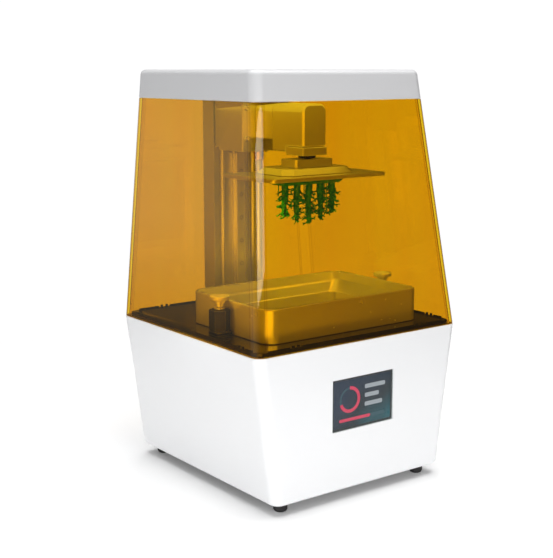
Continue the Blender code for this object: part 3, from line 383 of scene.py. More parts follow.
# ---------------------------------------------------------------- mesh helpers
def finished(name, bm, slot, body, replaced=(), angle=32, mat=None, weighted=True):
    """Makes bm a piece of the object, with its finish, smooth shading, body and replaced nodes."""
    bmesh.ops.recalc_face_normals(bm, faces=bm.faces)
    mesh = bpy.data.meshes.new(name)
    bm.to_mesh(mesh)
    bm.free()
    obj = linked(name, mesh)
    mesh.materials.append(mat or FINISH[slot])
    mesh.shade_smooth()
    mesh.set_sharp_from_angle(angle=math.radians(angle))
    if weighted:
        even = obj.modifiers.new("even_shading", "WEIGHTED_NORMAL")
        even.keep_sharp = True
    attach(obj, body)
    if replaced:
        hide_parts(*replaced)
    return obj


def join_rows(bm, rows, closed=False):
    """Faces between rows of points. A row of one point is a pole."""
    rows = [[bm.verts.new(p) for p in row] for row in rows]
    pairs = list(zip(rows, rows[1:]))
    if closed:
        pairs.append((rows[-1], rows[0]))
    for low, high in pairs:
        count = max(len(low), len(high))
        for i in range(count):
            j = (i + 1) % count
            corners = [low[i % len(low)], low[j % len(low)], high[j % len(high)], high[i % len(high)]]
            bm.faces.new(list(dict.fromkeys(corners)))
    return rows


def rounded_rectangle(x, y, radius, z, steps=CORNER_STEPS):
    """Points counter-clockwise round a rectangle with quarter-circle corners, at height z."""
    points = []
    corners = ((x[1], y[1], 1, 1), (x[0], y[1], -1, 1), (x[0], y[0], -1, -1), (x[1], y[0], 1, -1))
    for turn, (cx, cy, sx, sy) in enumerate(corners):
        for i in range(steps + 1):
            a = math.pi / 2 * (turn + i / steps)
            across, along = radius * math.cos(a), radius * math.sin(a)
            points.append((cx - sx * radius + across, cy - sy * radius + along, z))
    return points


def arc(inset, z, radius, start, end, steps=5):
    """Profile points (inset, z) round a quarter circle. Angles are in degrees from straight out."""
    out = []
    for i in range(steps + 1):
        a = math.radians(start + (end - start) * i / steps)
        out.append((inset - radius * math.cos(a), z + radius * math.sin(a)))
    return out


def wall_rows(section, profile, least=0.003):
    """Rows that follow a tapered section. The profile's points are (inset, z)."""
    rows = []
    for inset, z in profile:
        x0, x1, y0, y1 = section(z)
        radius = max(CORNER_RADIUS - inset, least)
        rows.append(rounded_rectangle((x0 + inset, x1 - inset), (y0 + inset, y1 - inset), radius, z))
    return rows


def ring_form(rows):
    """A closed form from rings of points, the last joined to the first."""
    bm = bmesh.new()
    join_rows(bm, rows, closed=True)
    return bm


def capped(bm, rows):
    """Faces between rows of points, and a face over each end."""
    made = join_rows(bm, rows)
    bm.faces.new(list(reversed(made[0])))
    bm.faces.new(made[-1])


def circle(place, radius, z, steps):
    """Points round a level circle about place, which is (x, y)."""
    turns = [2 * math.pi * i / steps for i in range(steps)]
    return [(place[0] + radius * math.cos(a), place[1] + radius * math.sin(a), z) for a in turns]


def box_cutter(bm, low, high):
    size = Matrix.Diagonal((*(b - a for a, b in zip(low, high)), 1.0))
    middle = Matrix.Translation([(a + b) / 2 for a, b in zip(low, high)])
    bmesh.ops.create_cube(bm, size=1.0, matrix=middle @ size)


def carve(obj, bm):
    """Cuts the closed shapes in bm out of obj."""
    bmesh.ops.recalc_face_normals(bm, faces=bm.faces)
    mesh = bpy.data.meshes.new("tool")
    bm.to_mesh(mesh)
    bm.free()
    tool = linked("tool", mesh)
    modifier = obj.modifiers.new("carve", "BOOLEAN")
    modifier.operation = "DIFFERENCE"
    modifier.object = tool
    modifier.solver = "EXACT"
    settle(obj)
    bpy.data.objects.remove(tool)
    bpy.data.meshes.remove(mesh)
    obj.data.shade_smooth()
    obj.data.set_sharp_from_angle(angle=math.radians(32))
    even = obj.modifiers.new("even_shading", "WEIGHTED_NORMAL")
    even.keep_sharp = True


def settle(obj):
    """Applies the modifiers other than the shading one."""
    for modifier in list(obj.modifiers):
        if modifier.type == "WEIGHTED_NORMAL":
            obj.modifiers.remove(modifier)
    graph = bpy.context.evaluated_depsgraph_get()
    done = bpy.data.meshes.new_from_object(obj.evaluated_get(graph))
    obj.modifiers.clear()
    old = obj.data
    obj.data = done
    bpy.data.meshes.remove(old)


def turned(bm, profile, place, steps=48, knurl=0.0, knurled=()):
    """A turned shape from (radius, z) points, bottom to top. A point of radius 0 is a pole. Every other
    step is sunk by knurl in the profile's points whose numbers are in knurled."""
    rows = []
    for number, (r, z) in enumerate(profile):
        row = circle(place, r, z, steps) if r else [(*place, z)]
        if number in knurled:
            row[1::2] = circle(place, r - knurl, z, steps)[1::2]
        rows.append(row)
    join_rows(bm, rows)


def softened(node, width, segments=2, angle=28):
    """A copy of a CAD node with its sharp edges rounded, which stands for it."""
    bm = bmesh.new()
    bm.from_mesh(frame["nodes"][node].data)
    bmesh.ops.remove_doubles(bm, verts=bm.verts, dist=2e-6)
    bmesh.ops.dissolve_limit(bm, angle_limit=math.radians(0.8), verts=bm.verts, edges=bm.edges)
    obj = finished(node + "_finish", bm, SLOT_OF[node], BODY_OF[node], [node], angle=angle, weighted=False)
    edges = obj.modifiers.new("edges", "BEVEL")
    edges.width = width
    edges.segments = segments
    edges.limit_method = "ANGLE"
    edges.angle_limit = math.radians(angle)
    edges.harden_normals = True
    return obj


def chamfered(node, width):
    """A copy of a CAD node with flat chamfers on its sharp edges, which stands for it."""
    obj = softened(node, width, segments=1)
    obj.modifiers["edges"].harden_normals = False
    settle(obj)
    obj.data.set_sharp_from_angle(angle=math.radians(20))
    return obj


# ---------------------------------------------------------------- fasteners
def socket_screw(bm, place, turn, radius, height, steps=24):
    """A cap screw's head with its hexagon socket. It stands on place, along turn's +Z."""
    chamfer, key = radius * 0.16, radius * 0.48
    depth = height * 0.62

    def level(r, z):
        return circle((0, 0), r, z, steps)

    def hexagon(r, z):
        row = []
        for i in range(steps):
            a = 2 * math.pi * i / steps
            off = (a + math.pi / 6) % (math.pi / 3) - math.pi / 6
            row.append((r / math.cos(off) * math.cos(a), r / math.cos(off) * math.sin(a), z))
        return row

    rows = [
        [(0, 0, 0)], level(radius, 0), level(radius, height - chamfer), level(radius - chamfer, height),
        level(key * 1.28, height), hexagon(key, height - chamfer * 0.4), hexagon(key, height - depth),
        [(0, 0, height - depth - radius * 0.2)],
    ]
    spot = Matrix.Translation(place) @ turn
    join_rows(bm, [[spot @ Vector(p) for p in row] for row in rows])


FACE = {
    "up": Matrix.Identity(4),
    "down": Matrix.Rotation(math.pi, 4, "X"),
    "front": Matrix.Rotation(math.pi / 2, 4, "X"),
    "back": Matrix.Rotation(-math.pi / 2, 4, "X"),
    "left": Matrix.Rotation(-math.pi / 2, 4, "Y"),
    "right": Matrix.Rotation(math.pi / 2, 4, "Y"),
}


def screws(name, places, facing, radius, height, body, slot="polished_steel"):
    bm = bmesh.new()
    for place in places:
        socket_screw(bm, place, FACE[facing], radius, height)
    return finished(name, bm, slot, body, angle=25)


# ---------------------------------------------------------------- outer shells
VENTS, VENT_PITCH, VENT_HALF, VENT_Z = 8, 0.014, 0.0015, (0.076, 0.106)
INLET_HALF_X, INLET_Z = 0.042, (0.034, 0.060)  # the opening for the inlet plate
THROUGH = 0.01  # how far a cutter reaches past a wall's face


def base_section(z):
    low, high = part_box("base_housing")
    half = BASE_LOW_HALF_X + (high.x - BASE_LOW_HALF_X) * (z - low.z) / (high.z - low.z)
    return -half, half, low.y, high.y


def hood_section(z):
    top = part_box("hood_cap")[1].z
    t = (z - JOINT_Z) / (top - JOINT_Z)
    return tuple(a + (b - a) * t for a, b in zip(HOOD_LOW, HOOD_HIGH))


def base_shell():
    """The white housing: rounded floor edge, tapered walls, ledge for the deck, and its openings."""
    low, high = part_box("base_housing")
    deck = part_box("deck_plate")[0]
    ledge, recess = 0.0100, high.x + deck.x - 0.0003
    rim = 0.0006
    profile = arc(EDGE_RADIUS, low.z + EDGE_RADIUS, EDGE_RADIUS, -90, 0, 7)
    profile += arc(rim, high.z - rim, rim, 0, 90, 3)
    profile += [
        (recess - 0.0003, high.z), (recess, high.z - 0.0003), (recess, deck.z - 0.0003),
        (ledge, deck.z - 0.0003), (ledge, deck.z - 0.0033), (WALL, deck.z - 0.0033),
        (WALL, 0.0150), (0.0118, 0.0150), (0.0118, 0.0123), (0.0076, 0.0123), (0.0076, low.z),
    ]
    bm = ring_form(wall_rows(base_section, profile))
    shell = finished("base_shell", bm, "white_shell", "base", ["base_housing"])
    cutters = bmesh.new()
    glass_low, glass_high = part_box("screen_glass")
    gap = 0.0003
    box_cutter(
        cutters, (glass_low.x - gap, low.y - THROUGH, glass_low.z - gap),
        (glass_high.x + gap, low.y + THROUGH, glass_high.z + gap),
    )
    openings = [(0.0, INLET_HALF_X, INLET_Z)]
    openings += [((i - (VENTS - 1) / 2) * VENT_PITCH, VENT_HALF, VENT_Z) for i in range(VENTS)]
    for x, half, z in openings:
        box_cutter(cutters, (x - half, high.y - THROUGH, z[0]), (x + half, high.y + THROUGH, z[1]))
    carve(shell, cutters)


def hood_shells():
    """The clear panel, open at both ends, and the white cap over it."""
    low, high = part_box("hood_panel")
    nick = 0.0003
    outer = [(nick, low.z), (0.0, low.z + nick), (0.0, high.z - nick), (nick, high.z)]
    inner = [(WALL - nick, high.z), (WALL, high.z - nick), (WALL, low.z + nick), (WALL - nick, low.z)]
    bm = ring_form(wall_rows(hood_section, outer + inner))
    finished("hood_clear_panel", bm, "amber_acrylic", "hood", ["hood_panel"])

    low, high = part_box("hood_cap")
    profile = [(WALL + 0.002, high.z - WALL), (WALL, high.z - WALL - 0.002), (WALL, low.z + nick)]
    profile += [(WALL - nick, low.z), (nick, low.z), (0.0, low.z + nick)]
    profile += arc(EDGE_RADIUS, high.z - EDGE_RADIUS, EDGE_RADIUS, 0, 90, 8)
    bm = bmesh.new()
    capped(bm, wall_rows(hood_section, profile))
    finished("hood_top_cap", bm, "white_cap", "hood", ["hood_cap"])


def feet():
    """Rubber feet with a tread ring, and the peg that holds each in the floor plate."""
    for node in ("foot_front_left", "foot_front_right", "foot_back_left", "foot_back_right"):
        low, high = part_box(node)
        r = (high.x - low.x) / 2
        profile = [
            (0.0, 0.0004), (r * 0.30, 0.0004), (r * 0.36, 0.0), (r * 0.70, 0.0), (r * 0.86, 0.0006),
            (r * 0.94, 0.0020), (r, 0.0022), (r, 0.0092), (r - 0.0006, 0.0099), (0.0020, 0.0099),
            (0.0020, high.z - 0.0009), (0.0011, high.z), (0.0, high.z),
        ]
        bm = bmesh.new()
        turned(bm, profile, middle_of(node), 40)
        finished(node + "_pad", bm, "black_rubber", "base", [node], angle=50)


# ---------------------------------------------------------------- vat and thumb screws
def vat():
    """The machined basin: rolled rim, sloped floor, ridge round the film window, and its two ears."""
    vat_low, vat_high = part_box("vat_frame")
    centre_y = middle_of("vat_frame")[1]
    half_x, half_y = VAT_HALF_X, (vat_high.y - vat_low.y) / 2
    under = (0.0850, 0.0560, 0.004)
    rim = 0.0013
    inner = (half_x - VAT_RIM, half_y - VAT_RIM, VAT_RADIUS - VAT_RIM)
    win = (*WINDOW_HALF, 0.0060)

    def grown(shape, by):
        return shape[0] + by, shape[1] + by, shape[2] + by

    outer = (half_x, half_y, VAT_RADIUS)
    rows = [(grown(outer, -0.0005), vat_low.z), (outer, vat_low.z + 0.0005)]
    for i in range(5):
        a = math.pi / 2 * i / 4
        rows.append((grown(outer, rim * (math.cos(a) - 1)), vat_high.z + rim * (math.sin(a) - 1)))
    for i in range(4):
        a = math.pi / 2 * i / 3
        rows.append((grown(inner, 0.0010 * (1 - math.sin(a))), vat_high.z - 0.0010 * (1 - math.cos(a))))
    for i in range(5):
        t = i / 4
        rows.append((grown(inner, -0.0030 * t * t), SLOPE_Z[1] + 0.0022 - 0.0034 * t))
    rows += [
        (grown(win, 0.0026), SLOPE_Z[0] + 0.0009), (grown(win, 0.0016), SLOPE_Z[0] + 0.0002),
        (grown(win, 0.0008), SLOPE_Z[0] + 0.0003), (grown(win, 0.0002), SLOPE_Z[0]),
        (win, SLOPE_Z[0] - 0.0006), (win, FILM_TOP_Z), (under, FILM_TOP_Z), (under, vat_low.z),
    ]
    bm = ring_form([
        rounded_rectangle((-x, x), (centre_y - y, centre_y + y), max(radius, 0.001), z)
        for (x, y, radius), z in rows
    ])
    basin = finished("vat_basin", bm, "cast_aluminium", "base", ["vat_frame"], angle=40)
    cutters = bmesh.new()
    for side in (-1, 1):
        x = sorted((side * POCKET_X, side * (half_x + 0.004)))
        y = (SCREW_Y - POCKET_HALF_Y, SCREW_Y + POCKET_HALF_Y)
        box_cutter(cutters, (x[0], y[0], vat_low.z - THROUGH), (x[1], y[1], POCKET_TOP_Z))
    carve(basin, cutters)
    for side, word in ((-1, "left"), (1, "right")):
        bm = bmesh.new()
        x = sorted((side * (POCKET_X + 0.0001), side * vat_high.x))
        y = (SCREW_Y - EAR_HALF_Y, SCREW_Y + EAR_HALF_Y)
        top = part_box("hex_post_left")[0].z - 0.0003
        levels = [(0.0003, vat_low.z), (0.0, vat_low.z + 0.0003), (0.0, top - 0.0005), (0.0005, top)]
        rows = [
            rounded_rectangle((x[0] + e, x[1] - e), (y[0] + e, y[1] - e), 0.004 - e, z, 6) for e, z in levels
        ]
        capped(bm, rows)
        finished("vat_ear_" + word, bm, "dark_metal", "base", ["vat_frame"])


SCREW_Y = middle_of("hex_post_left")[1]
KNURLS, KNURL_DEPTH = 44, 0.0002


def thumb_screws():
    """Knurled disc heads on a narrower tier and neck, each over a chamfered hexagonal post."""
    for word in ("left", "right"):
        name = "thumb_screw_" + word
        low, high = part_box(name)
        r = (high.x - low.x) / 2
        profile = [
            (0.0, low.z), (0.0019, low.z), (0.0025, low.z + 0.001), (0.0025, high.z - 0.0106),
            (0.0038, high.z - 0.0106), (0.0040, high.z - 0.0104), (0.0040, high.z - 0.0074),
            (0.0052, high.z - 0.0072), (0.0054, high.z - 0.0070), (0.0054, high.z - 0.0042),
            (r - 0.0006, high.z - 0.0041), (r, high.z - 0.0033), (r, high.z - 0.0007),
            (r - 0.0007, high.z), (r * 0.56, high.z), (r * 0.52, high.z - 0.0003),
            (r * 0.16, high.z - 0.0003), (0.0, high.z - 0.0005),
        ]
        rim = [i for i, point in enumerate(profile) if point[0] == r]
        bm = bmesh.new()
        turned(bm, profile, middle_of(name), KNURLS * 2, KNURL_DEPTH, rim)
        finished(name + "_knurled", bm, "polished_steel", BODY_OF[name], [name], angle=30)

        node = "thumb_washer_" + word
        wl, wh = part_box(node)
        wr = (wh.x - wl.x) / 2
        e = 0.0003
        bore = 0.0029
        ring = [(bore, wl.z), (wr - e, wl.z), (wr, wl.z + e), (wr, wh.z - e), (wr - e, wh.z), (bore, wh.z)]
        bm = ring_form([circle(middle_of(name), rr, z, 40) for rr, z in ring])
        finished(node + "_turned", bm, "polished_steel", BODY_OF[node], [node])
        softened("hex_post_" + word, 0.0004)


# ---------------------------------------------------------------- Z drive
def lead_screw():
    """The threaded rod: a four-start thread, cut square at both ends."""
    low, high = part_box("lead_screw")
    crest = (high.x - low.x) / 2
    x, y = middle_of("lead_screw")
    lead, around = LEAD_PITCH * LEAD_STARTS, 20
    shape = ((0.0, crest), (0.34, crest), (0.50, LEAD_ROOT), (0.84, LEAD_ROOT))
    turns = int((high.z - low.z + 2 * lead) / LEAD_PITCH) + 2
    start = low.z - lead - LEAD_PITCH
    bm = bmesh.new()
    columns = []
    for u in range(around):
        a = 2 * math.pi * u / around
        column = []
        for k in range(turns):
            for share, radius in shape:
                z = start + (k + share) * LEAD_PITCH + lead * u / around
                column.append(bm.verts.new((x + radius * math.cos(a), y + radius * math.sin(a), z)))
        columns.append(column)
    shift = len(shape) * LEAD_STARTS
    for u in range(around):
        here, there = columns[u], columns[(u + 1) % around]
        jump = shift if u == around - 1 else 0
        for v in range(len(here) - 1 - jump):
            bm.faces.new((here[v], there[v + jump], there[v + 1 + jump], here[v + 1]))
    for z, up in ((low.z + 0.0001, -1), (high.z - 0.0001, 1)):
        geometry = bm.verts[:] + bm.edges[:] + bm.faces[:]
        bmesh.ops.bisect_plane(bm, geom=geometry, dist=1e-7, plane_co=(0, 0, z), plane_no=(0, 0, up),
                               clear_outer=True)
        rim = [e for e in bm.edges if e.is_boundary and all(abs(v.co.z - z) < 1e-5 for v in e.verts)]
        bmesh.ops.holes_fill(bm, edges=rim, sides=0)
    finished("lead_screw_thread", bm, "polished_steel", "lead_screw_unit", ["lead_screw"], angle=30)


def rail_screws():
    """Screw heads sunk in the rail's face, and those of the top plate, the foot and the column."""
    low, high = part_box("linear_rail")
    count = 9
    step = (high.z - low.z - 0.020) / (count - 1)
    places = [(0.0, low.y + 0.0018, low.z + 0.010 + i * step) for i in range(count)]
    screws("rail_screws", places, "front", 0.0026, 0.0019, "base", "dark_metal")
    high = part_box("column_top_plate")[1]
    places = [(sx * 0.021, 0.0985 + sy * 0.0045, high.z - 0.0002) for sx in (-1, 1) for sy in (-1, 1)]
    screws("top_plate_screws", places, "up", 0.0024, 0.0022, "base", "dark_metal")
    low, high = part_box("column_foot")
    places = [(sx * 0.0325, low.y + dy, high.z - 0.0002) for sx in (-1, 1) for dy in (0.005, 0.0265)]
    screws("column_foot_screws", places, "up", 0.0022, 0.0020, "base", "polished_steel")


def top_bearing():
    """Ball bearing in the top plate: outer and inner ring with a shield between them."""
    low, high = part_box("top_bearing")
    outer, bore = (high.x - low.x) / 2, 0.0043
    e, z0, z1 = 0.0003, low.z, high.z
    profile = [
        (bore, z0 + e), (bore + e, z0), (0.0056, z0), (0.0057, z0 + 0.0004), (0.0067, z0 + 0.0004),
        (0.0068, z0), (outer - e, z0), (outer, z0 + e), (outer, z1 - e), (outer - e, z1), (0.0068, z1),
        (0.0067, z1 - 0.0004), (0.0057, z1 - 0.0004), (0.0056, z1), (bore + e, z1), (bore, z1 - e),
    ]
    bm = ring_form([circle(middle_of("top_bearing"), r, z, 40) for r, z in profile])
    finished("top_bearing_rings", bm, "polished_steel", "base", ["top_bearing"], angle=30)


def carriage_details():
    """Screws of the carriage's front face, and the nut's own screws."""
    low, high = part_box("carriage_shell")
    places = [(sx * 0.0245, low.y + 0.0002, z) for sx in (-1, 1) for z in (low.z + 0.0135, high.z - 0.0075)]
    screws("carriage_screws", places, "front", 0.0027, 0.0018, "carriage")
    x, y = middle_of("lead_nut")
    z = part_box("lead_nut")[1].z - 0.0034
    ring = 0.0080
    places = []
    for i in range(4):
        a = math.radians(45 + 90 * i)
        places.append((x + ring * math.cos(a), y + ring * math.sin(a), z))
    screws("nut_screws", places, "down", 0.0015, 0.0012, "carriage", "dark_metal")


# ---------------------------------------------------------------- build head
def build_plate():
    """The flat build plate, with round corners and softened edges."""
    low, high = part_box("build_plate")
    radius, edge = 0.005, 0.0005
    levels = [(edge, low.z), (edge * 0.3, low.z + edge * 0.3), (0, low.z + edge), (0, high.z - edge),
              (edge * 0.3, high.z - edge * 0.3), (edge, high.z)]
    rows = [
        rounded_rectangle((low.x + e, high.x - e), (low.y + e, high.y - e), radius - e, z, 8)
        for e, z in levels
    ]
    bm = bmesh.new()
    capped(bm, rows)
    finished("build_plate_machined", bm, "brushed_aluminium", "build_head", ["build_plate"])


# ---------------------------------------------------------------- screen
def panel_mesh(bm, points, y0, y1):
    """An upright plate from an outline of (x, z) points, between two y."""
    capped(bm, [[(x, y, z) for x, z in points] for y in (y0, y1)])


def upright_outline(x, z, radius, steps=6):
    return [(px, pz) for px, pz, _ in rounded_rectangle(x, z, radius, 0.0, steps)]


def ring_piece(bm, centre, radii, sweep, y, depth, steps=36):
    """Part of a flat ring on the display, drawn clockwise from the top."""
    cx, cz = centre
    rows = []
    for i in range(steps + 1):
        a = math.radians(90 - sweep * i / steps)
        r0, r1 = radii
        rows.append([(cx + r * math.cos(a), yy, cz + r * math.sin(a))
                     for r, yy in ((r0, y), (r1, y), (r1, y + depth), (r0, y + depth))])
    capped(bm, rows)


def screen():
    """Cover glass with a black border, over a lit display that shows a plain progress page."""
    low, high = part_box("screen_glass")
    x, z = (low.x, high.x), (low.z, high.z)
    glass_back, border_back, picture_y = low.y + 0.0010, low.y + 0.0012, low.y + 0.0016
    bm = bmesh.new()
    panel_mesh(bm, upright_outline(x, z, 0.0016), low.y, glass_back)
    finished("screen_cover", bm, "display_glass", "base", ["screen_glass"])

    frame_rows = []
    for inset, y in ((0, glass_back), (0.0021, glass_back), (0.0021, border_back), (0, border_back)):
        outline = upright_outline((x[0] + inset, x[1] - inset), (z[0] + inset, z[1] - inset), 0.0016)
        frame_rows.append([(px, y + 0.0001, pz) for px, pz in outline])
    finished("screen_border", ring_form(frame_rows), "display_glass", "base", mat=FINISH["black_plastic"])

    bm = bmesh.new()
    panel_mesh(bm, upright_outline((x[0] + 0.001, x[1] - 0.001), (z[0] + 0.001, z[1] - 0.001), 0.0012),
               picture_y, high.y)
    finished("screen_picture", bm, "display_glass", "base", mat=display_material(low, high))

    accent = glow("display_accent", (0.78, 0.045, 0.11), 0.9)
    pale = glow("display_pale", (0.42, 0.44, 0.47), 0.9)
    dim = glow("display_dim", (0.030, 0.085, 0.105), 1.0)
    face, depth = picture_y - 0.0002, 0.0001
    middle_z = (low.z + high.z) / 2
    gauge = (low.x + 0.0225, middle_z + 0.0035)
    bm = bmesh.new()
    ring_piece(bm, gauge, (0.0098, 0.0130), 250, face, depth)
    bar = (low.x + 0.0095, high.x - 0.0095)
    share = 0.68
    split = bar[0] + (bar[1] - bar[0]) * share
    bar_z = (low.z + 0.0075, low.z + 0.0105)
    panel_mesh(bm, upright_outline((bar[0], split), bar_z, 0.0013), face, face + depth)
    finished("screen_accents", bm, "display_glass", "base", mat=accent)
    bm = bmesh.new()
    for i, width in enumerate((0.0260, 0.0180, 0.0225)):
        top = middle_z + 0.0155 - i * 0.0088
        left = gauge[0] + 0.0190
        line = upright_outline((left, left + width), (top - 0.0042, top), 0.0012)
        panel_mesh(bm, line, face, face + depth)
    finished("screen_lines", bm, "display_glass", "base", mat=pale)
    bm = bmesh.new()
    ring_piece(bm, gauge, (0.0104, 0.0124), 360, face + 0.00012, 0.00005)
    panel_mesh(bm, upright_outline((split + 0.0010, bar[1]), bar_z, 0.0013), face, face + depth)
    finished("screen_tracks", bm, "display_glass", "base", mat=dim)


# ---------------------------------------------------------------- sockets at the back
def back_panel():
    """Contacts of the power inlet and the data port, and the screws of the inlet plate."""
    low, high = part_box("power_inlet")
    x, z = (low.x + high.x) / 2, (low.z + high.z) / 2
    bm = bmesh.new()
    pin = [(0.0, low.y + 0.0058), (0.0010, low.y + 0.0058), (0.0010, high.y - 0.0032),
           (0.0006, high.y - 0.0026), (0.0, high.y - 0.0024)]
    level = [circle((x, z), r, y, 20) if r else [(x, z, y)] for r, y in pin]
    join_rows(bm, [[(px, py, pz) for px, pz, py in row] for row in level])
    finished("power_inlet_pin", bm, "brass", "base")
    low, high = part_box("usb_port")
    bm = bmesh.new()
    middle = (low.z + high.z) / 2
    box_cutter(
        bm, (low.x + 0.0012, low.y + 0.0042, middle - 0.0001),
        (high.x - 0.0012, high.y - 0.0010, middle + 0.0016),
    )
    finished("usb_tongue", bm, "black_plastic", "base")
    bm = bmesh.new()
    for i in range(4):
        cx = low.x + 0.0026 + i * 0.0029
        box_cutter(
            bm, (cx - 0.0005, low.y + 0.0045, middle - 0.0003),
            (cx + 0.0005, high.y - 0.0014, middle - 0.0001),
        )
    finished("usb_contacts", bm, "brass", "base")
    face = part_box("inlet_plate")[1].y
    places = [(sx * 0.0375, face - 0.0001, sum(INLET_Z) / 2) for sx in (-1, 1)]
    screws("inlet_screws", places, "back", 0.0022, 0.0015, "base", "dark_metal")


def floor_plate():
    """Screws that hold the bottom plate."""
    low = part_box("bottom_plate")[0]
    places = [(sx * 0.0935, sy * 0.085, low.z + 0.0008) for sx in (-1, 1) for sy in (-1, 0, 1)]
    screws("floor_screws", places, "down", 0.0024, 0.0010, "base", "plain_steel")


def fan_rotor():
    """The fan's hub with seven twisted, curved blades."""
    low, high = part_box("fan_rotor")
    cx, cy = middle_of("fan_frame")
    hub, tip = 0.0120, 0.0274
    twist, curl, half_thick = 0.62, 0.10, 0.00055
    bm = bmesh.new()
    turned(bm, [(0.0, low.z + 0.001), (hub - 0.001, low.z), (hub, low.z + 0.001), (hub, high.z - 0.001),
                (hub - 0.001, high.z), (0.0, high.z)], (cx, cy), 48)
    blades, along, up = 7, 6, 6

    def border(grid):
        ring = grid[0] + [row[along] for row in grid[1:]]
        return ring + grid[up][along - 1::-1] + [row[0] for row in grid[up - 1:0:-1]]

    for b in range(blades):
        faces = []
        for side in (-1, 1):
            rows = []
            for j in range(up + 1):
                t = j / up
                row = []
                for i in range(along + 1):
                    s = i / along
                    r = hub - 0.001 + (tip - hub + 0.001) * s
                    sweep = 2 * math.pi * b / blades + (t - 0.5) * twist + curl * s * s
                    sweep += side * half_thick / r
                    z = low.z + 0.0012 + (high.z - low.z - 0.0024) * t
                    row.append(bm.verts.new((cx + r * math.cos(sweep), cy + r * math.sin(sweep), z)))
                rows.append(row)
            faces.append(rows)
        left, right = faces
        for j in range(up):
            for i in range(along):
                bm.faces.new((left[j][i], left[j][i + 1], left[j + 1][i + 1], left[j + 1][i]))
                bm.faces.new((right[j][i], right[j + 1][i], right[j + 1][i + 1], right[j][i + 1]))
        join = list(zip(border(left), border(right)))
        for i, (here, there) in enumerate(join):
            here_next, there_next = join[(i + 1) % len(join)]
            bm.faces.new((here, there, there_next, here_next))
    finished("fan_impeller", bm, "black_plastic", "fan", ["fan_rotor"], angle=40)


# ---------------------------------------------------------------- the sample print
def bead_chain(beads, points, radii):
    """Adds beads (centre, radius) close together along a line of points."""
    for (a, ra), (b, rb) in zip(zip(points, radii), list(zip(points, radii))[1:]):
        a, b = Vector(a), Vector(b)
        count = max(2, int((b - a).length / (min(ra, rb) * 0.45)) + 1)
        for i in range(count):
            t = i / count
            beads.append((a.lerp(b, t), ra + (rb - ra) * t))
    beads.append((Vector(points[-1]), radii[-1]))


def grow(beads, rng, start, heading, length, radius, levels):
    """A coral-like limb that bends, thins and forks."""
    points, radii = [start], [radius]
    here, aim = Vector(start), Vector(heading).normalized()
    steps = 4
    for i in range(steps):
        aim = (aim + Vector([rng.uniform(-0.35, 0.35) for _ in range(3)])).normalized()
        here = here + aim * (length / steps)
        points.append(here.copy())
        radii.append(radius * (1 - 0.45 * (i + 1) / steps))
    bead_chain(beads, points, radii)
    if levels == 0:
        return
    for _ in range(3):
        fork = (aim + Vector([rng.uniform(-1.0, 1.0) for _ in range(3)])).normalized()
        grow(beads, rng, here, fork, length * 0.62, radii[-1] * 0.9, levels - 1)


CORAL_Y = -0.0350
STALKS, STALK_PITCH, STALK_ROOT_Z = 5, 0.0150, 0.3005
STALK_LENGTH = 0.0400  # of the middle one
STALK_SHORTER = 0.11  # for each place farther out
STALK_RADII, STALK_POINTS, STALK_SWAY = (0.0042, 0.0026), 5, 0.0018
TWIGS, TWIG_START, TWIG_DROP, TWIG_RADIUS = 26, 0.16, 0.55, 0.0015
TWIG_LENGTH, TWIG_SHORTER = 0.0068, 0.0016
GOLDEN_TURN = 2.399963
VOXEL = 0.00055


def coral():
    """A generic branching test print. A row of hanging stalks, longest in the middle, each with twigs that
    turn round it by the golden angle. The whole is merged to one skin."""
    rng = random.Random(11)
    beads = []
    for k in range(STALKS):
        step = k - (STALKS - 1) / 2
        length = STALK_LENGTH * (1.0 - STALK_SHORTER * abs(step))
        line, radii = [], []
        for i in range(STALK_POINTS):
            t = i / (STALK_POINTS - 1)
            sway = STALK_SWAY * math.sin(math.pi * t * 2 + k)
            line.append(Vector((step * STALK_PITCH + sway, CORAL_Y + sway * 0.6, STALK_ROOT_Z - length * t)))
            radii.append(STALK_RADII[0] + (STALK_RADII[1] - STALK_RADII[0]) * t)
        bead_chain(beads, line, radii)
        for i in range(TWIGS):
            t = TWIG_START + (1 - TWIG_START) * (i + 0.5) / TWIGS
            heading = Vector((math.cos(GOLDEN_TURN * i), math.sin(GOLDEN_TURN * i), -TWIG_DROP))
            place = line[0].lerp(line[-1], t)
            grow(beads, rng, place, heading, TWIG_LENGTH - TWIG_SHORTER * t, TWIG_RADIUS, 1)
    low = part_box("sample_print")[0]
    ball = bmesh.new()
    bmesh.ops.create_icosphere(ball, subdivisions=1, radius=1.0)
    corners = [v.co.copy() for v in ball.verts]
    triangles = [[v.index for v in f.verts] for f in ball.faces]
    ball.free()
    points, faces = [], []
    for centre, radius in beads:
        if centre.z - radius < low.z + 0.0005:
            continue
        first = len(points)
        points.extend(centre + c * max(radius, 0.0006) for c in corners)
        faces.extend([first + i for i in triangle] for triangle in triangles)
    mesh = bpy.data.meshes.new("beads")
    mesh.from_pydata(points, [], faces)
    loose = linked("beads", mesh)
    skin = loose.modifiers.new("skin", "REMESH")
    skin.mode = "VOXEL"
    skin.voxel_size = VOXEL
    soft = loose.modifiers.new("soft", "SMOOTH")
    soft.factor, soft.iterations = 0.5, 2
    settle(loose)
    bm = bmesh.new()
    bm.from_mesh(loose.data)
    bpy.data.objects.remove(loose)
    made = finished(
        "sample_coral", bm, "green_resin", "build_head", ["sample_print"], angle=180, weighted=False
    )
    count = len(made.data.vertices)
    places, normals = np.empty(count * 3), np.empty(count * 3)
    made.data.vertices.foreach_get("co", places)
    made.data.vertices.foreach_get("normal", normals)
    rough = [noise.noise(Vector(p) * 420.0) * 0.00045 + noise.noise(Vector(p) * 1000.0) * 0.00028
             for p in places.reshape(-1, 3)]
    places += (normals.reshape(-1, 3) * np.array(rough)[:, None]).ravel()
    made.data.vertices.foreach_set("co", places)
    made.data.update()
    made.data.shade_smooth()
    return made


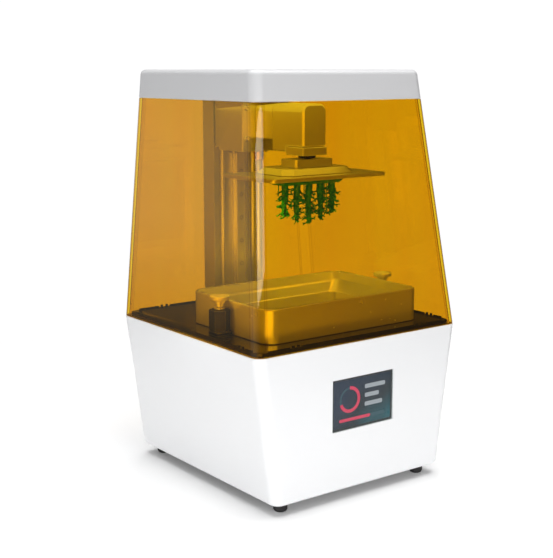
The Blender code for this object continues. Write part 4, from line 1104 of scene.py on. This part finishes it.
def raft_and_supports(body_mesh):
    """The raft on the build plate, and the thin supports that hold the coral from it."""
    low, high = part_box("sample_print")
    top = high.z
    raft_bottom = top - 0.0060
    bm = bmesh.new()
    rows = []
    for inset, z in ((0.0, top), (0.0, top - 0.0020), (0.0022, top - 0.0048), (0.0034, raft_bottom)):
        x = (-0.0400 + inset * 0.5, 0.0365 - inset)
        y = (low.y + 0.003 + inset, high.y - 0.002 - inset)
        rows.append(rounded_rectangle(x, y, 0.004, z, 6))
    capped(bm, rows)
    source = bmesh.new()
    source.from_mesh(body_mesh.data)
    tree = BVHTree.FromBMesh(source)
    source.free()
    rng = random.Random(5)
    spots = [(-0.0390, CORAL_Y), (-0.0362, CORAL_Y + 0.0015)]
    for i in range(16):
        x = -0.030 + 0.0042 * i + rng.uniform(-0.0008, 0.0008)
        spots.append((x, CORAL_Y + rng.uniform(-0.0045, 0.0045)))
    spots += [(0.0335, CORAL_Y), (0.0350, CORAL_Y + 0.0015)]
    for index, (x, y) in enumerate(spots):
        stout = 1.5 if index == 0 else 0.0
        hit = tree.ray_cast(Vector((x, y, raft_bottom)), Vector((0, 0, -1)))[0]
        if hit is None or raft_bottom - hit.z < 0.0015:
            continue
        tip, foot = hit.z - 0.0004, top
        stem = 0.00052 + stout * 0.0006
        profile = [
            (0.0, tip), (stem * 0.5, tip + 0.0004), (stem, tip + 0.0022), (stem, foot - 0.0070),
            (0.0013 + stem - 0.00052, foot - 0.0055), (0.0013, foot - 0.0001), (0.0, foot - 0.0001),
        ]
        if profile[2][1] < profile[3][1]:
            turned(bm, profile, (x, y), 12)
    return finished("sample_raft", bm, "green_resin", "build_head", angle=40)


def sample_print():
    body = coral()
    raft = raft_and_supports(body)
    for obj in (body, raft):
        settle(obj)
        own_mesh(obj)


# ---------------------------------------------------------------- stage
def softbox(name, place, target, size, radiance, mirrored=True):
    """An area light of even brightness. Reflections don't show it where mirrored is False."""
    data = bpy.data.lights.new(name, "AREA")
    data.shape = "RECTANGLE"
    data.size, data.size_y = size
    data.energy = 4 * radiance * size[0] * size[1]
    obj = linked(name, data)
    obj.location = place
    obj.rotation_euler = (Vector(target) - Vector(place)).to_track_quat("-Z", "Y").to_euler()
    obj.visible_camera = False
    obj.visible_glossy = mirrored


def studio():
    """White room: a pale floor that fades out far away, softboxes in front, low at the left and overhead,
    and small ones beside the basin and under the cap that light the chamber."""
    bm = bmesh.new()
    bmesh.ops.create_grid(bm, x_segments=2, y_segments=2, size=4.0)
    mesh = bpy.data.meshes.new("floor")
    bm.to_mesh(mesh)
    bm.free()
    floor = linked("floor", mesh)
    paper = surface("floor_paper", (0.90, 0.90, 0.90), 0.85, mottle=0.01)
    tree = paper.node_tree
    shader = tree.nodes["Principled BSDF"]
    shader.inputs["Emission Color"].default_value = (*WHITE, 1.0)
    shader.inputs["Emission Strength"].default_value = 0.10
    away = add(tree, "VectorMath", {0: object_place(tree)}, operation="LENGTH").outputs["Value"]
    fade = mapped(tree, away, *FLOOR_FADE, interpolation_type="SMOOTHSTEP")
    gone = add(tree, "BsdfTransparent").outputs[0]
    both = add(tree, "MixShader", {0: fade, 1: shader.outputs[0], 2: gone})
    tree.links.new(both.outputs[0], tree.nodes["Material Output"].inputs["Surface"])
    mesh.materials.append(paper)

    softbox("front_softbox", (-0.56, -1.68, 0.65), (0.0, 0.0, 0.22), (2.6, 0.43), 2.95)
    softbox("edge_softbox", (-1.12, -1.34, 0.12), (0.0, 0.0, 0.22), (1.2, 0.26), 1.4)
    softbox("low_softbox", (-0.83, -0.68, 0.02), (-0.05, -0.1, 0.42), (1.25, 0.28), 2.5)
    softbox("top_softbox", (0.15, 0.05, 2.2), (0.0, 0.0, 0.0), (2.4, 2.4), 3.0)
    for side in (-1, 1):
        place, target = (side * 0.104, -0.03, 0.245), (side * 0.05, -0.03, 0.165)
        softbox(f"basin_softbox_{side}", place, target, (0.015, 0.13), 12.0, mirrored=False)
    softbox("chamber_softbox", (0.0, 0.0, 0.377), (0.0, -0.02, 0.16), (0.17, 0.17), 0.55)

    world = bpy.data.worlds.new("studio")
    bpy.context.scene.world = world
    world.use_nodes = True
    tree = world.node_tree
    tree.nodes.clear()
    way = add(tree, "TexCoord").outputs["Generated"]
    along = add(tree, "VectorMath", {0: way, 1: (-0.6, 0.8, 0.0)}, operation="DOT_PRODUCT").outputs["Value"]
    up = add(tree, "SeparateXYZ", {0: way}).outputs["Z"]
    side = mapped(tree, along, -0.4, 0.8, 0.10, 0.70)
    band = mapped(tree, up, 0.03, 0.25, 1.0, 0.15)
    below = mapped(tree, up, -0.14, -0.03, 0.22, 1.0)
    level = calc(tree, "MULTIPLY", calc(tree, "MULTIPLY", side, band), below)
    sky = add(tree, "Background", {"Color": (0.97, 0.985, 1.0, 1.0), "Strength": level})
    seen = add(tree, "Background", {"Color": (*WHITE, 1.0), "Strength": 1.02})
    is_camera = add(tree, "LightPath").outputs["Is Camera Ray"]
    both = add(tree, "MixShader", {0: is_camera, 1: sky.outputs[0], 2: seen.outputs[0]})
    add(tree, "OutputWorld", {"Surface": both.outputs[0]})
    bpy.context.scene.view_settings.view_transform = "Standard"


def camera():
    data = bpy.data.cameras.new("camera")
    data.lens = CAMERA_LENS
    data.dof.use_dof = False
    obj = linked("camera", data)
    obj.location = CAMERA_PLACE
    obj.rotation_euler = (math.pi / 2 - CAMERA_PITCH, 0.0, -CAMERA_YAW)
    bpy.context.scene.camera = obj


SOFT_EDGES = {  # how wide, and the CAD nodes that only need softer edges
    0.0002: (
        "end_stop_flag", "inlet_plate", "switch_body", "bottom_plate", "film_clamp_ring", "lcd_frame",
        "uv_lamp_board", "z_column", "linear_rail", "light_reflector", "ball_stud", "power_inlet",
    ),
    0.0001: ("usb_port",),
    0.0003: (
        "arm_root", "end_stop", "fan_frame", "rail_block", "carriage_block", "switch_rocker", "deck_plate",
    ),
    0.0004: ("column_foot", "column_top_plate", "motor_bracket", "z_motor"),
    0.0005: ("platform_hub",),
    0.0008: ("ball_housing",),
}
CHAMFERS = {  # CAD nodes that get flat chamfers, and how wide
    "arm_box": 0.0018, "arm_clamp_block": 0.0013, "carriage_shell": 0.0010,
}


def main():
    camera()
    studio()
    paint_nodes()
    base_shell()
    hood_shells()
    feet()
    for width, nodes in SOFT_EDGES.items():
        for node in nodes:
            softened(node, width)
    for node, width in CHAMFERS.items():
        chamfered(node, width)
    vat()
    thumb_screws()
    lead_screw()
    rail_screws()
    top_bearing()
    carriage_details()
    build_plate()
    screen()
    back_panel()
    floor_plate()
    fan_rotor()
    sample_print()


main()
